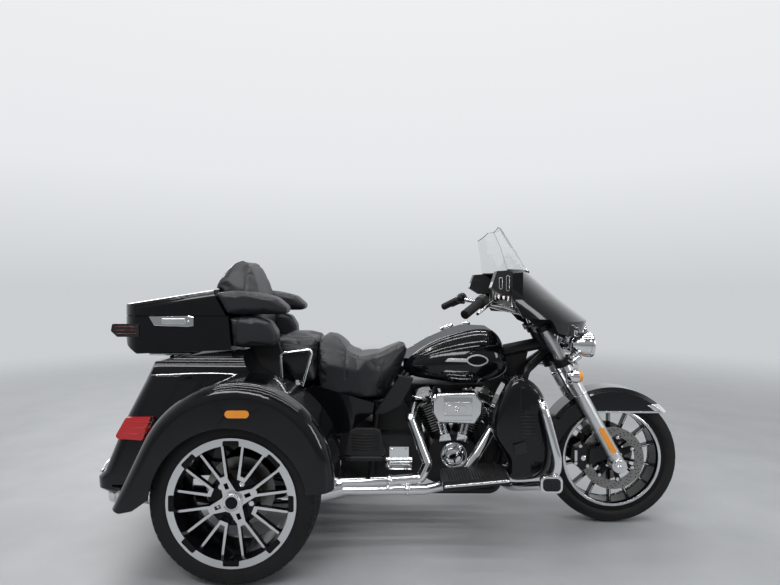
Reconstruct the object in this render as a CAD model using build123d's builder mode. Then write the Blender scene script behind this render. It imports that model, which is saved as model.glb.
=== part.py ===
from build123d import *
from math import cos, radians, sin, tan
import os

os.makedirs("parts", exist_ok=True)

# Motorized trike, whole vehicle. Millimetres. +X forward, +Y to the left, +Z up.
# The floor is z = 0 and the origin lies under the middle of the whole length.

# Chassis layout
front_axle_x = 1015.7
rear_axle_x = -654.3
track_half = 545.0
body_half = 425.0
fender_out = 695.0
run_gap = 0.05

# Front wheel and tyre, 130/60-19
front_r = 319.3
front_half = 65.0
front_bead = 241.3
front_lip = 256.0
front_rim_half = 50.0

# Rear wheels and tyres, 215/45-18
rear_r = 325.3
rear_half = 107.5
rear_bead = 228.6
rear_lip = 248.0
rear_rim_half = 98.0
pocket_r = 225.0

lip_wall = 7.0
rim_wall = 7.0
axle_r = 12.5
hub_axle_r = 17.0

# Steering
rake = 26.0
axis_floor_x = 1115.7
steer_slope = tan(radians(rake))
stem_r = 17.0
neck_r = 32.0
neck_low_z = 800.0
neck_high_z = 935.0
fork_y = 125.0
fork_slope = 0.5485
fork_low_r = 30.0
fork_up_r = 26.0

# Engine
crank_x = 243.0
crank_z = 300.0
bank = 22.5
fin_r = 76.0


def steer_x(z):
    return axis_floor_x - steer_slope * z


def fork_x(z):
    return front_axle_x - fork_slope * (z - front_r)


def tube(points, bend, radius):
    """Round bar along straight runs with rounded corners."""
    with BuildPart() as bar:
        with BuildLine() as path:
            if len(points) > 2:
                FilletPolyline(*points, radius=bend)
            else:
                Line(*points)
        with BuildSketch(Plane(origin=path.line @ 0, z_dir=path.line % 0)):
            Circle(radius)
        sweep(path=path.line)
    return bar.part


def slab(points, near, far, corner=0, edge=0):
    """Plate with a side outline in X and Z, from one Y to a further Y, with rounded corners and edges."""
    with BuildPart() as plate:
        with BuildSketch(Plane.XZ.offset(-near)) as side_view:
            with BuildLine():
                Polyline(*points, close=True)
            make_face()
            if corner:
                fillet(side_view.vertices(), radius=corner)
        extrude(amount=near - far)
        if edge:
            rims = plate.faces().filter_by(Axis.Y).edges()
            fillet(rims, radius=edge)
    return plate.part


def rod(start, end, radius):
    """Straight round bar from one point to another."""
    along = Vector(end) - Vector(start)
    with BuildPart() as bar:
        with BuildSketch(Plane(origin=start, z_dir=along)):
            Circle(radius)
        extrude(amount=along.length)
    return bar.part


def wheel_plane(x, y, z):
    """Sketch plane whose first axis runs across the wheel and whose second runs up from its centre."""
    return Plane(origin=(x, y, z), x_dir=(0, 1, 0), z_dir=(1, 0, 0))


def tyre(x, y, z, tread_r, half, bead, lip, rim_half):
    """Ring of rubber seated between the two lips of a rim."""
    with BuildPart() as ring:
        with BuildSketch(wheel_plane(x, y, z)):
            with BuildLine():
                Line((-rim_half, bead), (rim_half, bead))
                Line((rim_half, bead), (rim_half, lip))
                ThreePointArc((rim_half, lip), (half, (lip + tread_r) / 2 - 4), (half - 9, tread_r - 20))
                ThreePointArc((half - 9, tread_r - 20), (0, tread_r), (9 - half, tread_r - 20))
                ThreePointArc((9 - half, tread_r - 20), (-half, (lip + tread_r) / 2 - 4), (-rim_half, lip))
                Line((-rim_half, lip), (-rim_half, bead))
            make_face()
        revolve(axis=Axis((x, y, z), (0, 1, 0)))
    return ring.part


def rim(x, y, z, bead, lip, rim_half):
    """Barrel of a wheel with a lip at each side."""
    with BuildPart() as barrel:
        with BuildSketch(wheel_plane(x, y, z)):
            with BuildLine():
                Polyline(
                    (-rim_half - lip_wall, lip),
                    (-rim_half, lip),
                    (-rim_half, bead),
                    (rim_half, bead),
                    (rim_half, lip),
                    (rim_half + lip_wall, lip),
                    (rim_half + lip_wall, bead - rim_wall - 2),
                    (rim_half * 0.7, bead - rim_wall - 12),
                    (-rim_half * 0.7, bead - rim_wall - 12),
                    (-rim_half - lip_wall, bead - rim_wall - 2),
                    close=True,
                )
            make_face()
        revolve(axis=Axis((x, y, z), (0, 1, 0)))
    return barrel.part


fork_outline = [(84, -16), (218, -51), (219, -42), (100, -9), (100, 9), (219, 42), (218, 51), (84, 16)]
claw_outline = [(30, -27), (92, -16), (92, 16), (30, 27)]


def swung(points, angle):
    """Points of a flat outline turned about the plane's origin, in degrees."""
    c = cos(radians(angle))
    s = sin(radians(angle))
    return [(x * c - y * s, x * s + y * c) for x, y in points]


def rear_wheel(side):
    """Rear wheel with eight forked spokes; side is -1 on the right and 1 on the left."""
    face_y = side * (track_half + rear_rim_half + lip_wall)
    spoke_y = face_y - side * 22
    plane = Plane(origin=(rear_axle_x, spoke_y, rear_r), x_dir=(1, 0, 0), z_dir=(0, side, 0))
    with BuildPart() as wheel:
        add(rim(rear_axle_x, side * track_half, rear_r, rear_bead, rear_lip, rear_rim_half))
        with BuildSketch(plane.offset(22)) as pockets:
            with PolarLocations(pocket_r, 8):
                Rectangle(26, 62)
            fillet(pockets.vertices(), radius=7)
        extrude(amount=-4, mode=Mode.SUBTRACT)
        with BuildSketch(plane):
            for turn in range(8):
                with BuildLine():
                    Polyline(*swung(fork_outline, 22.5 + 45 * turn), close=True)
                make_face()
        extrude(amount=-24)
        with BuildSketch(plane):
            for turn in range(4):
                with BuildLine():
                    Polyline(*swung(claw_outline, 22.5 + 90 * turn), close=True)
                make_face()
            with PolarLocations(62, 4, 22.5):
                Rectangle(24, 15, mode=Mode.SUBTRACT)
            Circle(42)
        extrude(amount=-24)
        with BuildSketch(plane):
            Circle(38)
        extrude(amount=14)
        with BuildSketch(plane.offset(-24)):
            Circle(102)
        extrude(amount=-30)
        with BuildSketch(plane.offset(-24)):
            with PolarLocations(70, 5, 62):
                RegularPolygon(11, 6)
        extrude(amount=12)
        with BuildSketch(plane.offset(-54)):
            Circle(60)
        extrude(amount=-70)
        with BuildSketch(plane.offset(-110)):
            Circle(138)
            Circle(40, mode=Mode.SUBTRACT)
        extrude(amount=-8)
        with BuildSketch(plane.offset(-30)):
            Circle(hub_axle_r + run_gap)
        extrude(amount=-120, mode=Mode.SUBTRACT)
    return wheel.part


# Front wheel group
with BuildPart() as front_tyre:
    add(tyre(front_axle_x, 0, front_r, front_r, front_half, front_bead, front_lip, front_rim_half))
front_tyre.part.label = "front_tyre"
export_step(front_tyre.part, "parts/front_tyre.step")

front_plane = Plane(origin=(front_axle_x, 0, front_r), x_dir=(1, 0, 0), z_dir=(0, -1, 0))
front_hub_half = 62.0
pair_turn = 232.0
pair_lean = 11.5
with BuildPart() as front_wheel:
    add(rim(front_axle_x, 0, front_r, front_bead, front_lip, front_rim_half))
    with BuildSketch(front_plane.offset(-14)):
        for lean in (-pair_lean, pair_lean):
            with PolarLocations(140, 7, pair_turn + lean):
                Rectangle(170, 11)
    extrude(amount=28)
    with BuildSketch(front_plane.offset(-front_hub_half)):
        Circle(46)
    extrude(amount=2 * front_hub_half)
    with BuildSketch(front_plane.offset(-25)):
        Circle(72)
    extrude(amount=50)
    with BuildSketch(front_plane.offset(-front_hub_half)):
        Circle(axle_r + run_gap)
    extrude(amount=2 * front_hub_half, mode=Mode.SUBTRACT)
front_wheel.part.label = "front_wheel"
export_step(front_wheel.part, "parts/front_wheel.step")

disc_r = 150.0
disc_in = front_hub_half
disc_out = front_hub_half + 5
with BuildPart() as front_discs:
    with BuildSketch(front_plane.offset(disc_in)):
        Circle(disc_r)
        Circle(axle_r + 12, mode=Mode.SUBTRACT)
        with PolarLocations(78, 7):
            Circle(20, mode=Mode.SUBTRACT)
    extrude(amount=disc_out - disc_in)
    mirror(about=Plane.XZ)
front_discs.part.label = "front_discs"
export_step(front_discs.part, "parts/front_discs.step")

# Rear wheels
with BuildPart() as rear_tyre_right:
    add(tyre(rear_axle_x, -track_half, rear_r, rear_r, rear_half, rear_bead, rear_lip, rear_rim_half))
rear_tyre_right.part.label = "rear_tyre_right"
export_step(rear_tyre_right.part, "parts/rear_tyre_right.step")

with BuildPart() as rear_tyre_left:
    add(tyre(rear_axle_x, track_half, rear_r, rear_r, rear_half, rear_bead, rear_lip, rear_rim_half))
rear_tyre_left.part.label = "rear_tyre_left"
export_step(rear_tyre_left.part, "parts/rear_tyre_left.step")

with BuildPart() as rear_wheel_right:
    add(rear_wheel(-1))
rear_wheel_right.part.label = "rear_wheel_right"
export_step(rear_wheel_right.part, "parts/rear_wheel_right.step")

with BuildPart() as rear_wheel_left:
    add(rear_wheel(1))
rear_wheel_left.part.label = "rear_wheel_left"
export_step(rear_wheel_left.part, "parts/rear_wheel_left.step")

# Fork, clamps and bars
fork_foot_z = 285.0
slider_top_z = 705.0
fork_top_z = 955.0
with BuildPart() as fork_legs:
    for side in (-1, 1):
        y = side * fork_y
        add(rod((fork_x(fork_foot_z), y, fork_foot_z), (fork_x(slider_top_z), y, slider_top_z), fork_low_r))
        add(rod((fork_x(slider_top_z), y, slider_top_z), (fork_x(fork_top_z), y, fork_top_z), fork_up_r))
        with BuildSketch(Plane(origin=(front_axle_x - 4, y + side * 34, front_r - 8), z_dir=(0, -side, 0))):
            Circle(34)
        extrude(amount=62)
    with BuildSketch(front_plane.offset(-fork_y)):
        Circle(axle_r)
    extrude(amount=2 * fork_y)
fork_legs.part.label = "fork_legs"
export_step(fork_legs.part, "parts/fork_legs.step")

steer_dir = (-sin(radians(rake)), 0, cos(radians(rake)))
neck_len = (neck_high_z - neck_low_z) / cos(radians(rake))
neck_plane = Plane(origin=(steer_x(neck_low_z), 0, neck_low_z), x_dir=(0, 1, 0), z_dir=steer_dir)
clamp_gap = 2.0
with BuildPart() as fork_clamps:
    for low, thick, lead in ((-clamp_gap - 34, 34, 26), (neck_len + clamp_gap, 26, 16)):
        with BuildSketch(neck_plane.offset(low)):
            with Locations((0, -lead / 2)):
                Rectangle(2 * fork_y, 62)
            with Locations((-fork_y, -lead), (fork_y, -lead)):
                Circle(42)
            Circle(40)
        extrude(amount=thick)
    with BuildSketch(neck_plane.offset(-clamp_gap - 10)):
        Circle(stem_r)
    extrude(amount=neck_len + 2 * clamp_gap + 20)
    add(fork_legs.part, mode=Mode.SUBTRACT)
fork_clamps.part.label = "fork_clamps"
export_step(fork_clamps.part, "parts/fork_clamps.step")

bar_r = 12.5
grip_in = (328, 372, 1078)
grip_out = (250, 474, 1031)
grip_r = 18.5
with BuildPart() as handlebar:
    add(
        tube(
            [
                (grip_in[0], -grip_in[1], grip_in[2]),
                (430, -300, 1062),
                (560, -190, 1022),
                (632, -90, 1010),
                (632, 90, 1010),
                (560, 190, 1022),
                (430, 300, 1062),
                (grip_in[0], grip_in[1], grip_in[2]),
            ],
            40,
            bar_r,
        )
    )
    for y in (-52, 52):
        add(rod((650, y, 968), (632, y, 1012), 17))
    add(fork_clamps.part, mode=Mode.SUBTRACT)
handlebar.part.label = "handlebar"
export_step(handlebar.part, "parts/handlebar.step")

with BuildPart() as hand_controls:
    add(rod((grip_in[0], -grip_in[1], grip_in[2]), (grip_out[0], -grip_out[1], grip_out[2]), grip_r))
    add(rod((352, -358, 1076), (330, -372, 1077), 26))
    add(rod((340, -364, 1076), (386, -360, 1076), 9))
    add(tube([(384, -352, 1076), (350, -416, 1062), (300, -484, 1034)], 20, 6))
    mirror(about=Plane.XZ)
    add(handlebar.part, mode=Mode.SUBTRACT)
hand_controls.part.label = "hand_controls"
export_step(hand_controls.part, "parts/hand_controls.step")

# Fairing, screen and dash. Each row: height, nose X, side X, half width
fairing_rows = (
    (815, 845, 700, 150),
    (905, 872, 640, 300),
    (990, 890, 520, 385),
    (1090, 756, 462, 402),
    (1212, 612, 452, 340),
)
screen_rows = (
    (1212, 612, 452, 340),
    (1320, 548, 430, 290),
    (1425, 486, 400, 210),
)
fairing_wall = 7.0
screen_wall = 5.0


def bowed(rows, wall):
    """Shell bowed forward, from crescents at rising heights."""
    with BuildPart() as shell:
        for height, nose, side, half in rows:
            with BuildSketch(Plane.XY.offset(height)):
                with BuildLine():
                    ThreePointArc((side, -half), (nose, 0), (side, half))
                    Line((side, half), (side, half - wall))
                    ThreePointArc((side, half - wall), (nose - wall, 0), (side, wall - half))
                    Line((side, wall - half), (side, -half))
                make_face()
        loft(ruled=True)
    return shell.part


lamp_z = 898.0
lamp_r = 90.0
with BuildPart() as fairing_shell:
    add(bowed(fairing_rows, fairing_wall))
    add(fork_clamps.part, mode=Mode.SUBTRACT)
    for side in (-1, 1):
        add(
            slab([(380, 1018), (632, 1004), (684, 940), (770, 918), (900, 946), (900, 780), (380, 780)], side * 118, side * 460),
            mode=Mode.SUBTRACT,
        )
    with BuildSketch(Plane(origin=(1000, 0, lamp_z), x_dir=(0, 1, 0), z_dir=(-1, 0, 0))):
        Circle(lamp_r)
    extrude(amount=400, mode=Mode.SUBTRACT)
fairing_shell.part.label = "fairing_shell"
export_step(fairing_shell.part, "parts/fairing_shell.step")

with BuildPart() as windscreen:
    add(bowed(screen_rows, screen_wall))
    with BuildSketch(Plane.YZ):
        with BuildLine():
            Polyline((-360, 1212), (360, 1212), (345, 1240), (250, 1385), (140, 1425), (-140, 1425), (-250, 1385), (-345, 1240), close=True)
        make_face()
    extrude(amount=1000, mode=Mode.INTERSECT)
windscreen.part.label = "windscreen"
export_step(windscreen.part, "parts/windscreen.step")

gauge_r = 48.0
with BuildPart() as fairing_dash:
    with BuildSketch(Plane.YZ.offset(508)):
        with BuildLine():
            Polyline((-388, 1024), (-366, 1100), (-274, 1210), (274, 1210), (366, 1100), (388, 1024), (140, 1040), (-140, 1040), close=True)
        make_face()
    extrude(amount=14)
    with BuildSketch(Plane.YZ.offset(508)):
        with Locations((-62, 1128), (62, 1128)):
            Circle(gauge_r)
        with Locations((-160, 1108), (160, 1108)):
            Circle(34)
        with Locations((-282, 1096), (282, 1096)):
            Circle(58)
    extrude(amount=-12)
    for side in (-1, 1):
        add(slab([(376, 1140), (400, 1212), (452, 1216), (508, 1180), (508, 1110), (430, 1106)], side * 308, side * 372))
    add(fairing_shell.part, mode=Mode.SUBTRACT)
    add(windscreen.part, mode=Mode.SUBTRACT)
    add(handlebar.part, mode=Mode.SUBTRACT)
fairing_dash.part.label = "fairing_dash"
export_step(fairing_dash.part, "parts/fairing_dash.step")

with BuildPart() as headlamp:
    with BuildSketch(Plane(origin=(760, 0, lamp_z), x_dir=(0, 1, 0), z_dir=(1, 0, 0))):
        Circle(lamp_r)
    extrude(amount=118)
    with BuildSketch(Plane(origin=(878, 0, lamp_z), x_dir=(0, 1, 0), z_dir=(1, 0, 0))):
        Circle(lamp_r)
    extrude(amount=14, taper=35)
    add(fairing_shell.part, mode=Mode.SUBTRACT)
    add(fork_clamps.part, mode=Mode.SUBTRACT)
headlamp.part.label = "headlamp"
export_step(headlamp.part, "parts/headlamp.step")

spot_y = 205.0
spot_z = 883.0
spot_r = 59.0
with BuildPart() as passing_lamps:
    with BuildSketch(Plane(origin=(800, -spot_y, spot_z), x_dir=(0, 1, 0), z_dir=(1, 0, 0))):
        Circle(spot_r)
    extrude(amount=64)
    with BuildSketch(Plane(origin=(800, -spot_y, spot_z), x_dir=(0, 1, 0), z_dir=(-1, 0, 0))):
        Circle(spot_r - 4)
    extrude(amount=110, taper=18)
    add(rod((790, -spot_y, spot_z - 30), (772, -spot_y, 800), 12))
    add(tube([(772, -270, 792), (772, -200, 800), (772, 0, 800)], 30, 14))
    add(rod((772, -262, 800), (772, -262, 748), 9))
    with BuildSketch(Plane(origin=(738, -262, 746), x_dir=(0, 1, 0), z_dir=(1, 0, 0))):
        Circle(30)
    extrude(amount=64)
    mirror(about=Plane.XZ)
    add(rod((740, 0, 775), (775, 0, 800), 22))
    add(fork_clamps.part, mode=Mode.SUBTRACT)
    add(fork_legs.part, mode=Mode.SUBTRACT)
    add(headlamp.part, mode=Mode.SUBTRACT)
    add(fairing_shell.part, mode=Mode.SUBTRACT)
passing_lamps.part.label = "passing_lamps"
export_step(passing_lamps.part, "parts/passing_lamps.step")

# Front fender and brake calipers
fender_half = 80.0
fender_in_r = 335.0
with BuildPart() as front_fender:
    with BuildSketch(wheel_plane(front_axle_x, 0, front_r)):
        with BuildLine():
            Polyline((-fender_half, 200), (-fender_half, 322), (-58, 341), (58, 341), (fender_half, 322), (fender_half, 200), close=True)
        make_face()
        with BuildLine():
            Polyline((-74, 200), (-74, 318), (-54, fender_in_r), (54, fender_in_r), (74, 318), (74, 200), close=True)
        make_face(mode=Mode.SUBTRACT)
    revolve(axis=Axis((front_axle_x, 0, front_r), (0, 1, 0)))
    with BuildSketch(Plane.XZ):
        with BuildLine():
            Polyline((640, 400), (742, 383), (800, 470), (880, 540), (1310, 540), (1310, 700), (640, 700), close=True)
        make_face()
    extrude(amount=120, both=True, mode=Mode.INTERSECT)
    for side in (-1, 1):
        add(slab([(850, 556), (920, 556), (900, 610), (830, 610)], side * 79, side * 112))
    add(fork_legs.part, mode=Mode.SUBTRACT)
front_fender.part.label = "front_fender"
export_step(front_fender.part, "parts/front_fender.step")

with BuildPart() as brake_calipers:
    add(slab([(818, 300), (830, 376), (868, 396), (900, 380), (896, 290), (862, 270)], -46, -98))
    add(slab([(885, 300), (890, 372), (960, 392), (975, 330)], -86, -112))
    with BuildSketch(front_plane.offset(disc_in - 5)):
        Circle(disc_r + 7)
    extrude(amount=disc_out - disc_in + 11, mode=Mode.SUBTRACT)
    mirror(about=Plane.XZ)
    add(fork_legs.part, mode=Mode.SUBTRACT)
brake_calipers.part.label = "brake_calipers"
export_step(brake_calipers.part, "parts/brake_calipers.step")

# Passenger footboard hinge
board_hinge_y = 334.0
board_hinge_z = 400.0
board_pin_r = 5.0
board_arm_x = -156.0

# Frame
rail_y = 130.0
rail_r = 19.0
floor_z = 455.0
# Boxes and plates carried between the tubes. Each row: side outline, near Y, far Y
frame_boxes = (
    # Tray under the tank
    ([(-8, 680), (-8, 686), (415, 686), (415, 680)], -105, 105),
    # Coil box between the cylinder heads
    ([(200, 606), (286, 606), (300, 650), (305, 682), (181, 682), (186, 650)], -25, 60),
    # Battery box under the seat
    ([(-115, 452), (46, 452), (30, 560), (-8, 640), (-40, 664), (-115, 664)], -68, 68),
    # Oil tank behind the gearbox
    ([(-290, 228), (-300, 430), (-250, 500), (-110, 500), (-110, 445), (-152, 445), (-152, 228)], -92, 50),
    # Oil cooler between the down tubes
    ([(446, 288), (472, 288), (508, 436), (482, 436)], -90, 90),
    # Gusset behind the steering neck
    ([(625, 842), (602, 745), (565, 625), (506, 625), (502, 824)], -8, 8),
)
with BuildPart() as frame:
    for side in (-1, 1):
        add(
            tube(
                [
                    (steer_x(830), side * 18, 830),
                    (600, side * 60, 740),
                    (478, side * 105, 300),
                    (440, side * rail_y, 190),
                    (-120, side * rail_y, 190),
                    (-300, side * 190, 250),
                    (-430, side * 200, 430),
                ],
                50,
                rail_r,
            )
        )
        add(tube([(40, side * 30, 735), (-60, side * 95, 600), (-490, side * 120, 590)], 50, 16))
        add(rod((-120, side * 112, 595), (-150, side * rail_y, 195), 16))
        with BuildSketch(Plane.XY.offset(floor_z)):
            with Locations((-635, side * 200)):
                Rectangle(450, 44)
        extrude(amount=-40)
    add(rod((steer_x(870), 0, 870), (20, 0, 730), 30))
    add(rod((-290, -190, 246), (-290, 190, 246), 18))
    add(rod((462, -120, 240), (462, 120, 240), 16))
    add(rod((-490, -200, 590), (-490, 200, 590), 14))
    add(rod((board_arm_x, -board_hinge_y + 28, board_hinge_z), (board_arm_x, board_hinge_y - 28, board_hinge_z), 12))
    for outline, near, far in frame_boxes:
        add(slab(outline, near, far))
    for side in (-1, 1):
        add(rod((-246, side * (board_hinge_y - 28), board_hinge_z), (-74, side * (board_hinge_y - 28), board_hinge_z), 8))
        add(rod((-246, side * board_hinge_y, board_hinge_z), (-74, side * board_hinge_y, board_hinge_z), board_pin_r))
        for x in (-246, -82):
            add(slab([(x, 390), (x, 410), (x + 8, 410), (x + 8, 390)], side * (board_hinge_y - 30), side * (board_hinge_y + 9)))
    with BuildSketch(neck_plane):
        Circle(neck_r)
    extrude(amount=neck_len)
    with BuildSketch(neck_plane.offset(-40)):
        Circle(48)
    extrude(amount=40, mode=Mode.SUBTRACT)
    with BuildSketch(neck_plane.offset(-40)):
        Circle(stem_r + run_gap)
    extrude(amount=neck_len + 80, mode=Mode.SUBTRACT)
frame.part.label = "frame"
export_step(frame.part, "parts/frame.step")

# Rear axle
rear_plane = Plane(origin=(rear_axle_x, 0, rear_r), x_dir=(1, 0, 0), z_dir=(0, -1, 0))
housing_half = 430.0
stub_half = 597.0
with BuildPart() as rear_axle:
    with BuildSketch(rear_plane.offset(-housing_half)):
        Circle(38)
    extrude(amount=2 * housing_half)
    with BuildSketch(rear_plane.offset(-88)):
        Circle(104)
    extrude(amount=176)
    with BuildSketch(rear_plane.offset(-stub_half)):
        Circle(hub_axle_r)
    extrude(amount=2 * stub_half)
    for side in (-1, 1):
        add(rod((rear_axle_x, side * 260, rear_r), (-290, side * 175, 246), 26))
    add(frame.part, mode=Mode.SUBTRACT)
rear_axle.part.label = "rear_axle"
export_step(rear_axle.part, "parts/rear_axle.step")

# Engine
with BuildPart() as engine_cases:
    add(slab([(110, 232), (112, 330), (150, 400), (215, 440), (290, 440), (345, 395), (368, 320), (350, 240), (300, 212), (150, 212)], -95, 95))
    add(slab([(-150, 240), (-150, 400), (-110, 440), (60, 440), (112, 400), (112, 232)], -108, 108))
    add(slab([(330, 240), (330, 275), (462, 262), (462, 225)], -35, 35))
    add(frame.part, mode=Mode.SUBTRACT)
engine_cases.part.label = "engine_cases"
export_step(engine_cases.part, "parts/engine_cases.step")


def bank_plane(lean, up):
    """Plane across a cylinder at a distance up from the crank; positive lean is forward."""
    tilt = (sin(radians(lean)), 0, cos(radians(lean)))
    base = Vector(crank_x, 0, crank_z) + Vector(*tilt) * up
    return Plane(origin=base, x_dir=(0, 1, 0), z_dir=tilt)


fin_count = 11
fin_pitch = 12.5
fin_low = 172.0
head_low = 305.0
with BuildPart() as cylinders:
    for lean in (-bank, bank):
        with BuildSketch(bank_plane(lean, 128)):
            Circle(54)
        extrude(amount=head_low - 128)
        for row in range(fin_count):
            with BuildSketch(bank_plane(lean, fin_low + row * fin_pitch)):
                fin = Rectangle(2 * fin_r, 132)
                chamfer(fin.vertices(), 34)
            extrude(amount=4.5)
        with BuildSketch(bank_plane(lean, head_low)):
            head = Rectangle(150, 138)
            chamfer(head.vertices(), 18)
        extrude(amount=34)
    add(engine_cases.part, mode=Mode.SUBTRACT)
cylinders.part.label = "cylinders"
export_step(cylinders.part, "parts/cylinders.step")

with BuildPart() as engine_covers:
    for lean in (-bank, bank):
        with BuildSketch(bank_plane(lean, head_low + 34)):
            box = Rectangle(156, 128)
            chamfer(box.vertices(), 16)
        extrude(amount=26)
        with BuildSketch(bank_plane(lean, head_low + 60)):
            cap = Rectangle(150, 118)
            chamfer(cap.vertices(), 22)
        extrude(amount=24, taper=20)
    with BuildSketch(Plane(origin=(crank_x, -95, 350), x_dir=(1, 0, 0), z_dir=(0, -1, 0))):
        Circle(62)
    extrude(amount=34)
    with BuildSketch(Plane(origin=(crank_x, -129, 350), x_dir=(1, 0, 0), z_dir=(0, -1, 0))):
        Circle(48)
    extrude(amount=14, taper=20)
    add(slab([(-78, 291), (-78, 345), (-60, 352), (-60, 398), (30, 398), (30, 352), (45, 345), (45, 291)], -108, -158))
    add(slab([(175, 412), (180, 440), (222, 452), (232, 420)], -80, -125))
    add(slab([(256, 420), (264, 452), (306, 440), (311, 412)], -80, -125))
    for foot, head in ((190, 138), (212, 166), (274, 320), (296, 348)):
        add(rod((foot, -100, 436), (head, -86, 628), 9))
    add(slab([(-120, 262), (-128, 330), (-110, 392), (-60, 424), (240, 424), (330, 392), (368, 320), (345, 246), (290, 208), (-40, 214)], 95, 182))
    add(engine_cases.part, mode=Mode.SUBTRACT)
    add(cylinders.part, mode=Mode.SUBTRACT)
    add(frame.part, mode=Mode.SUBTRACT)
engine_covers.part.label = "engine_covers"
export_step(engine_covers.part, "parts/engine_covers.step")

air_side = [(135, 578), (135, 631), (158, 662), (326, 668), (364, 626), (360, 572), (323, 524), (162, 531)]
with BuildPart() as air_cleaner:
    with BuildSketch(Plane.XZ.offset(128)):
        with BuildLine():
            Polyline((150, 606), (160, 640), (206, 656), (340, 656), (350, 632), (340, 550), (328, 532), (196, 534), (160, 556), close=True)
        make_face()
    extrude(amount=62)
    add(slab(air_side, -190, -248, corner=14, edge=11))
    add(rod((243, -30, 596), (243, -128, 596), 52))
    add(cylinders.part, mode=Mode.SUBTRACT)
    add(engine_covers.part, mode=Mode.SUBTRACT)
air_cleaner.part.label = "air_cleaner"
export_step(air_cleaner.part, "parts/air_cleaner.step")

muffler_r = 44.0
muffler_y = 350.0
with BuildPart() as exhaust:
    add(
        tube(
            [(120, -60, 592), (60, -130, 590), (36, -212, 545), (112, -262, 352), (80, -272, 290), (-60, -285, 284), (-290, -300, 280)],
            24,
            22,
        )
    )
    add(
        tube(
            [(380, -60, 585), (420, -140, 560), (418, -205, 512), (330, -236, 380), (250, -250, 268), (100, -285, 246), (-290, -300, 246)],
            24,
            22,
        )
    )
    add(tube([(-180, -292, 262), (-200, -180, 236), (-200, 180, 236), (-240, 292, 262), (-300, 300, 262)], 24, 20))
    for side in (-1, 1):
        add(
            tube(
                [
                    (-270, side * 300, 262),
                    (-420, side * 340, 238),
                    (-800, side * muffler_y, 236),
                    (-1255, side * muffler_y, 261),
                ],
                60,
                muffler_r,
            )
        )
    add(cylinders.part, mode=Mode.SUBTRACT)
    add(engine_covers.part, mode=Mode.SUBTRACT)
    add(frame.part, mode=Mode.SUBTRACT)
exhaust.part.label = "exhaust"
export_step(exhaust.part, "parts/exhaust.step")

pulley_r = 92.0
sprocket_r = 42.0
sprocket_x = -196.0
with BuildPart() as drive_belt:
    with BuildSketch(Plane(origin=(0, 88, 0), x_dir=(1, 0, 0), z_dir=(0, 1, 0))):
        with Locations((rear_axle_x, -rear_r)):
            Circle(pulley_r)
        with Locations((sprocket_x, -rear_r)):
            Circle(sprocket_r)
        make_hull()
        with Locations((rear_axle_x / 2 + sprocket_x / 2 + 16, -rear_r)):
            Rectangle(230, 84, mode=Mode.SUBTRACT)
    extrude(amount=30)
    with BuildSketch(Plane(origin=(0, 60, 0), x_dir=(1, 0, 0), z_dir=(0, 1, 0))):
        with Locations((sprocket_x, -rear_r)):
            Circle(16)
    extrude(amount=30)
    add(slab([(sprocket_x - 16, rear_r - 16), (sprocket_x - 16, rear_r + 16), (-140, rear_r + 16), (-140, rear_r - 16)], 60, 84))
    add(engine_cases.part, mode=Mode.SUBTRACT)
    add(rear_axle.part, mode=Mode.SUBTRACT)
    add(frame.part, mode=Mode.SUBTRACT)
drive_belt.part.label = "drive_belt"
export_step(drive_belt.part, "parts/drive_belt.step")

# Tank and console. Each row: X, bottom, top, half width
tank_rows = (
    (6, 744, 786, 44),
    (62, 712, 834, 84),
    (193, 697, 903, 132),
    (330, 688, 940, 154),
    (432, 706, 938, 146),
    (498, 728, 850, 96),
)
with BuildPart() as fuel_tank:
    for x, low, high, half in tank_rows:
        tall = high - low
        with BuildSketch(Plane(origin=(x, 0, 0), x_dir=(0, 1, 0), z_dir=(1, 0, 0))):
            with BuildLine():
                Line((-0.7 * half, low), (0.7 * half, low))
                ThreePointArc((0.7 * half, low), (half, low + 0.36 * tall), (0.68 * half, low + 0.82 * tall))
                ThreePointArc((0.68 * half, low + 0.82 * tall), (0, high), (-0.68 * half, low + 0.82 * tall))
                ThreePointArc((-0.68 * half, low + 0.82 * tall), (-half, low + 0.36 * tall), (-0.7 * half, low))
            make_face()
    loft()
    add(frame.part, mode=Mode.SUBTRACT)
    add(engine_covers.part, mode=Mode.SUBTRACT)
fuel_tank.part.label = "fuel_tank"
export_step(fuel_tank.part, "parts/fuel_tank.step")

with BuildPart() as tank_console:
    add(slab([(12, 800), (16, 838), (120, 900), (223, 944), (288, 964), (400, 958), (432, 938), (432, 900), (60, 790)], -40, 40))
    add(fuel_tank.part, mode=Mode.SUBTRACT)
    add(frame.part, mode=Mode.SUBTRACT)
tank_console.part.label = "tank_console"
export_step(tank_console.part, "parts/tank_console.step")

# Rear body. Each row: height, side X, middle X, half width of the tail
body_rows = (
    (289, -1227, -1300, 470),
    (322, -1261, -1335, 495),
    (365, -1261, -1335, 500),
    (390, -1235, -1305, 500),
    (584, -1160, -1225, 490),
    (752, -1088, -1140, 450),
    (890, -1030, -1070, 425),
)
body_front = -505.0
body_wall = 5.0
corner_r = 60.0
body_side = (
    (-1400, 280),
    (-1195, 280),
    (-1185, 340),
    (-870, 340),
    (-860, floor_z),
    (body_front, floor_z),
    (body_front, 660),
    (-582, 748),
    (-645, 786),
    (-690, 866),
    (-860, 856),
    (-1058, 828),
    (-1400, 785),
)

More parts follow.
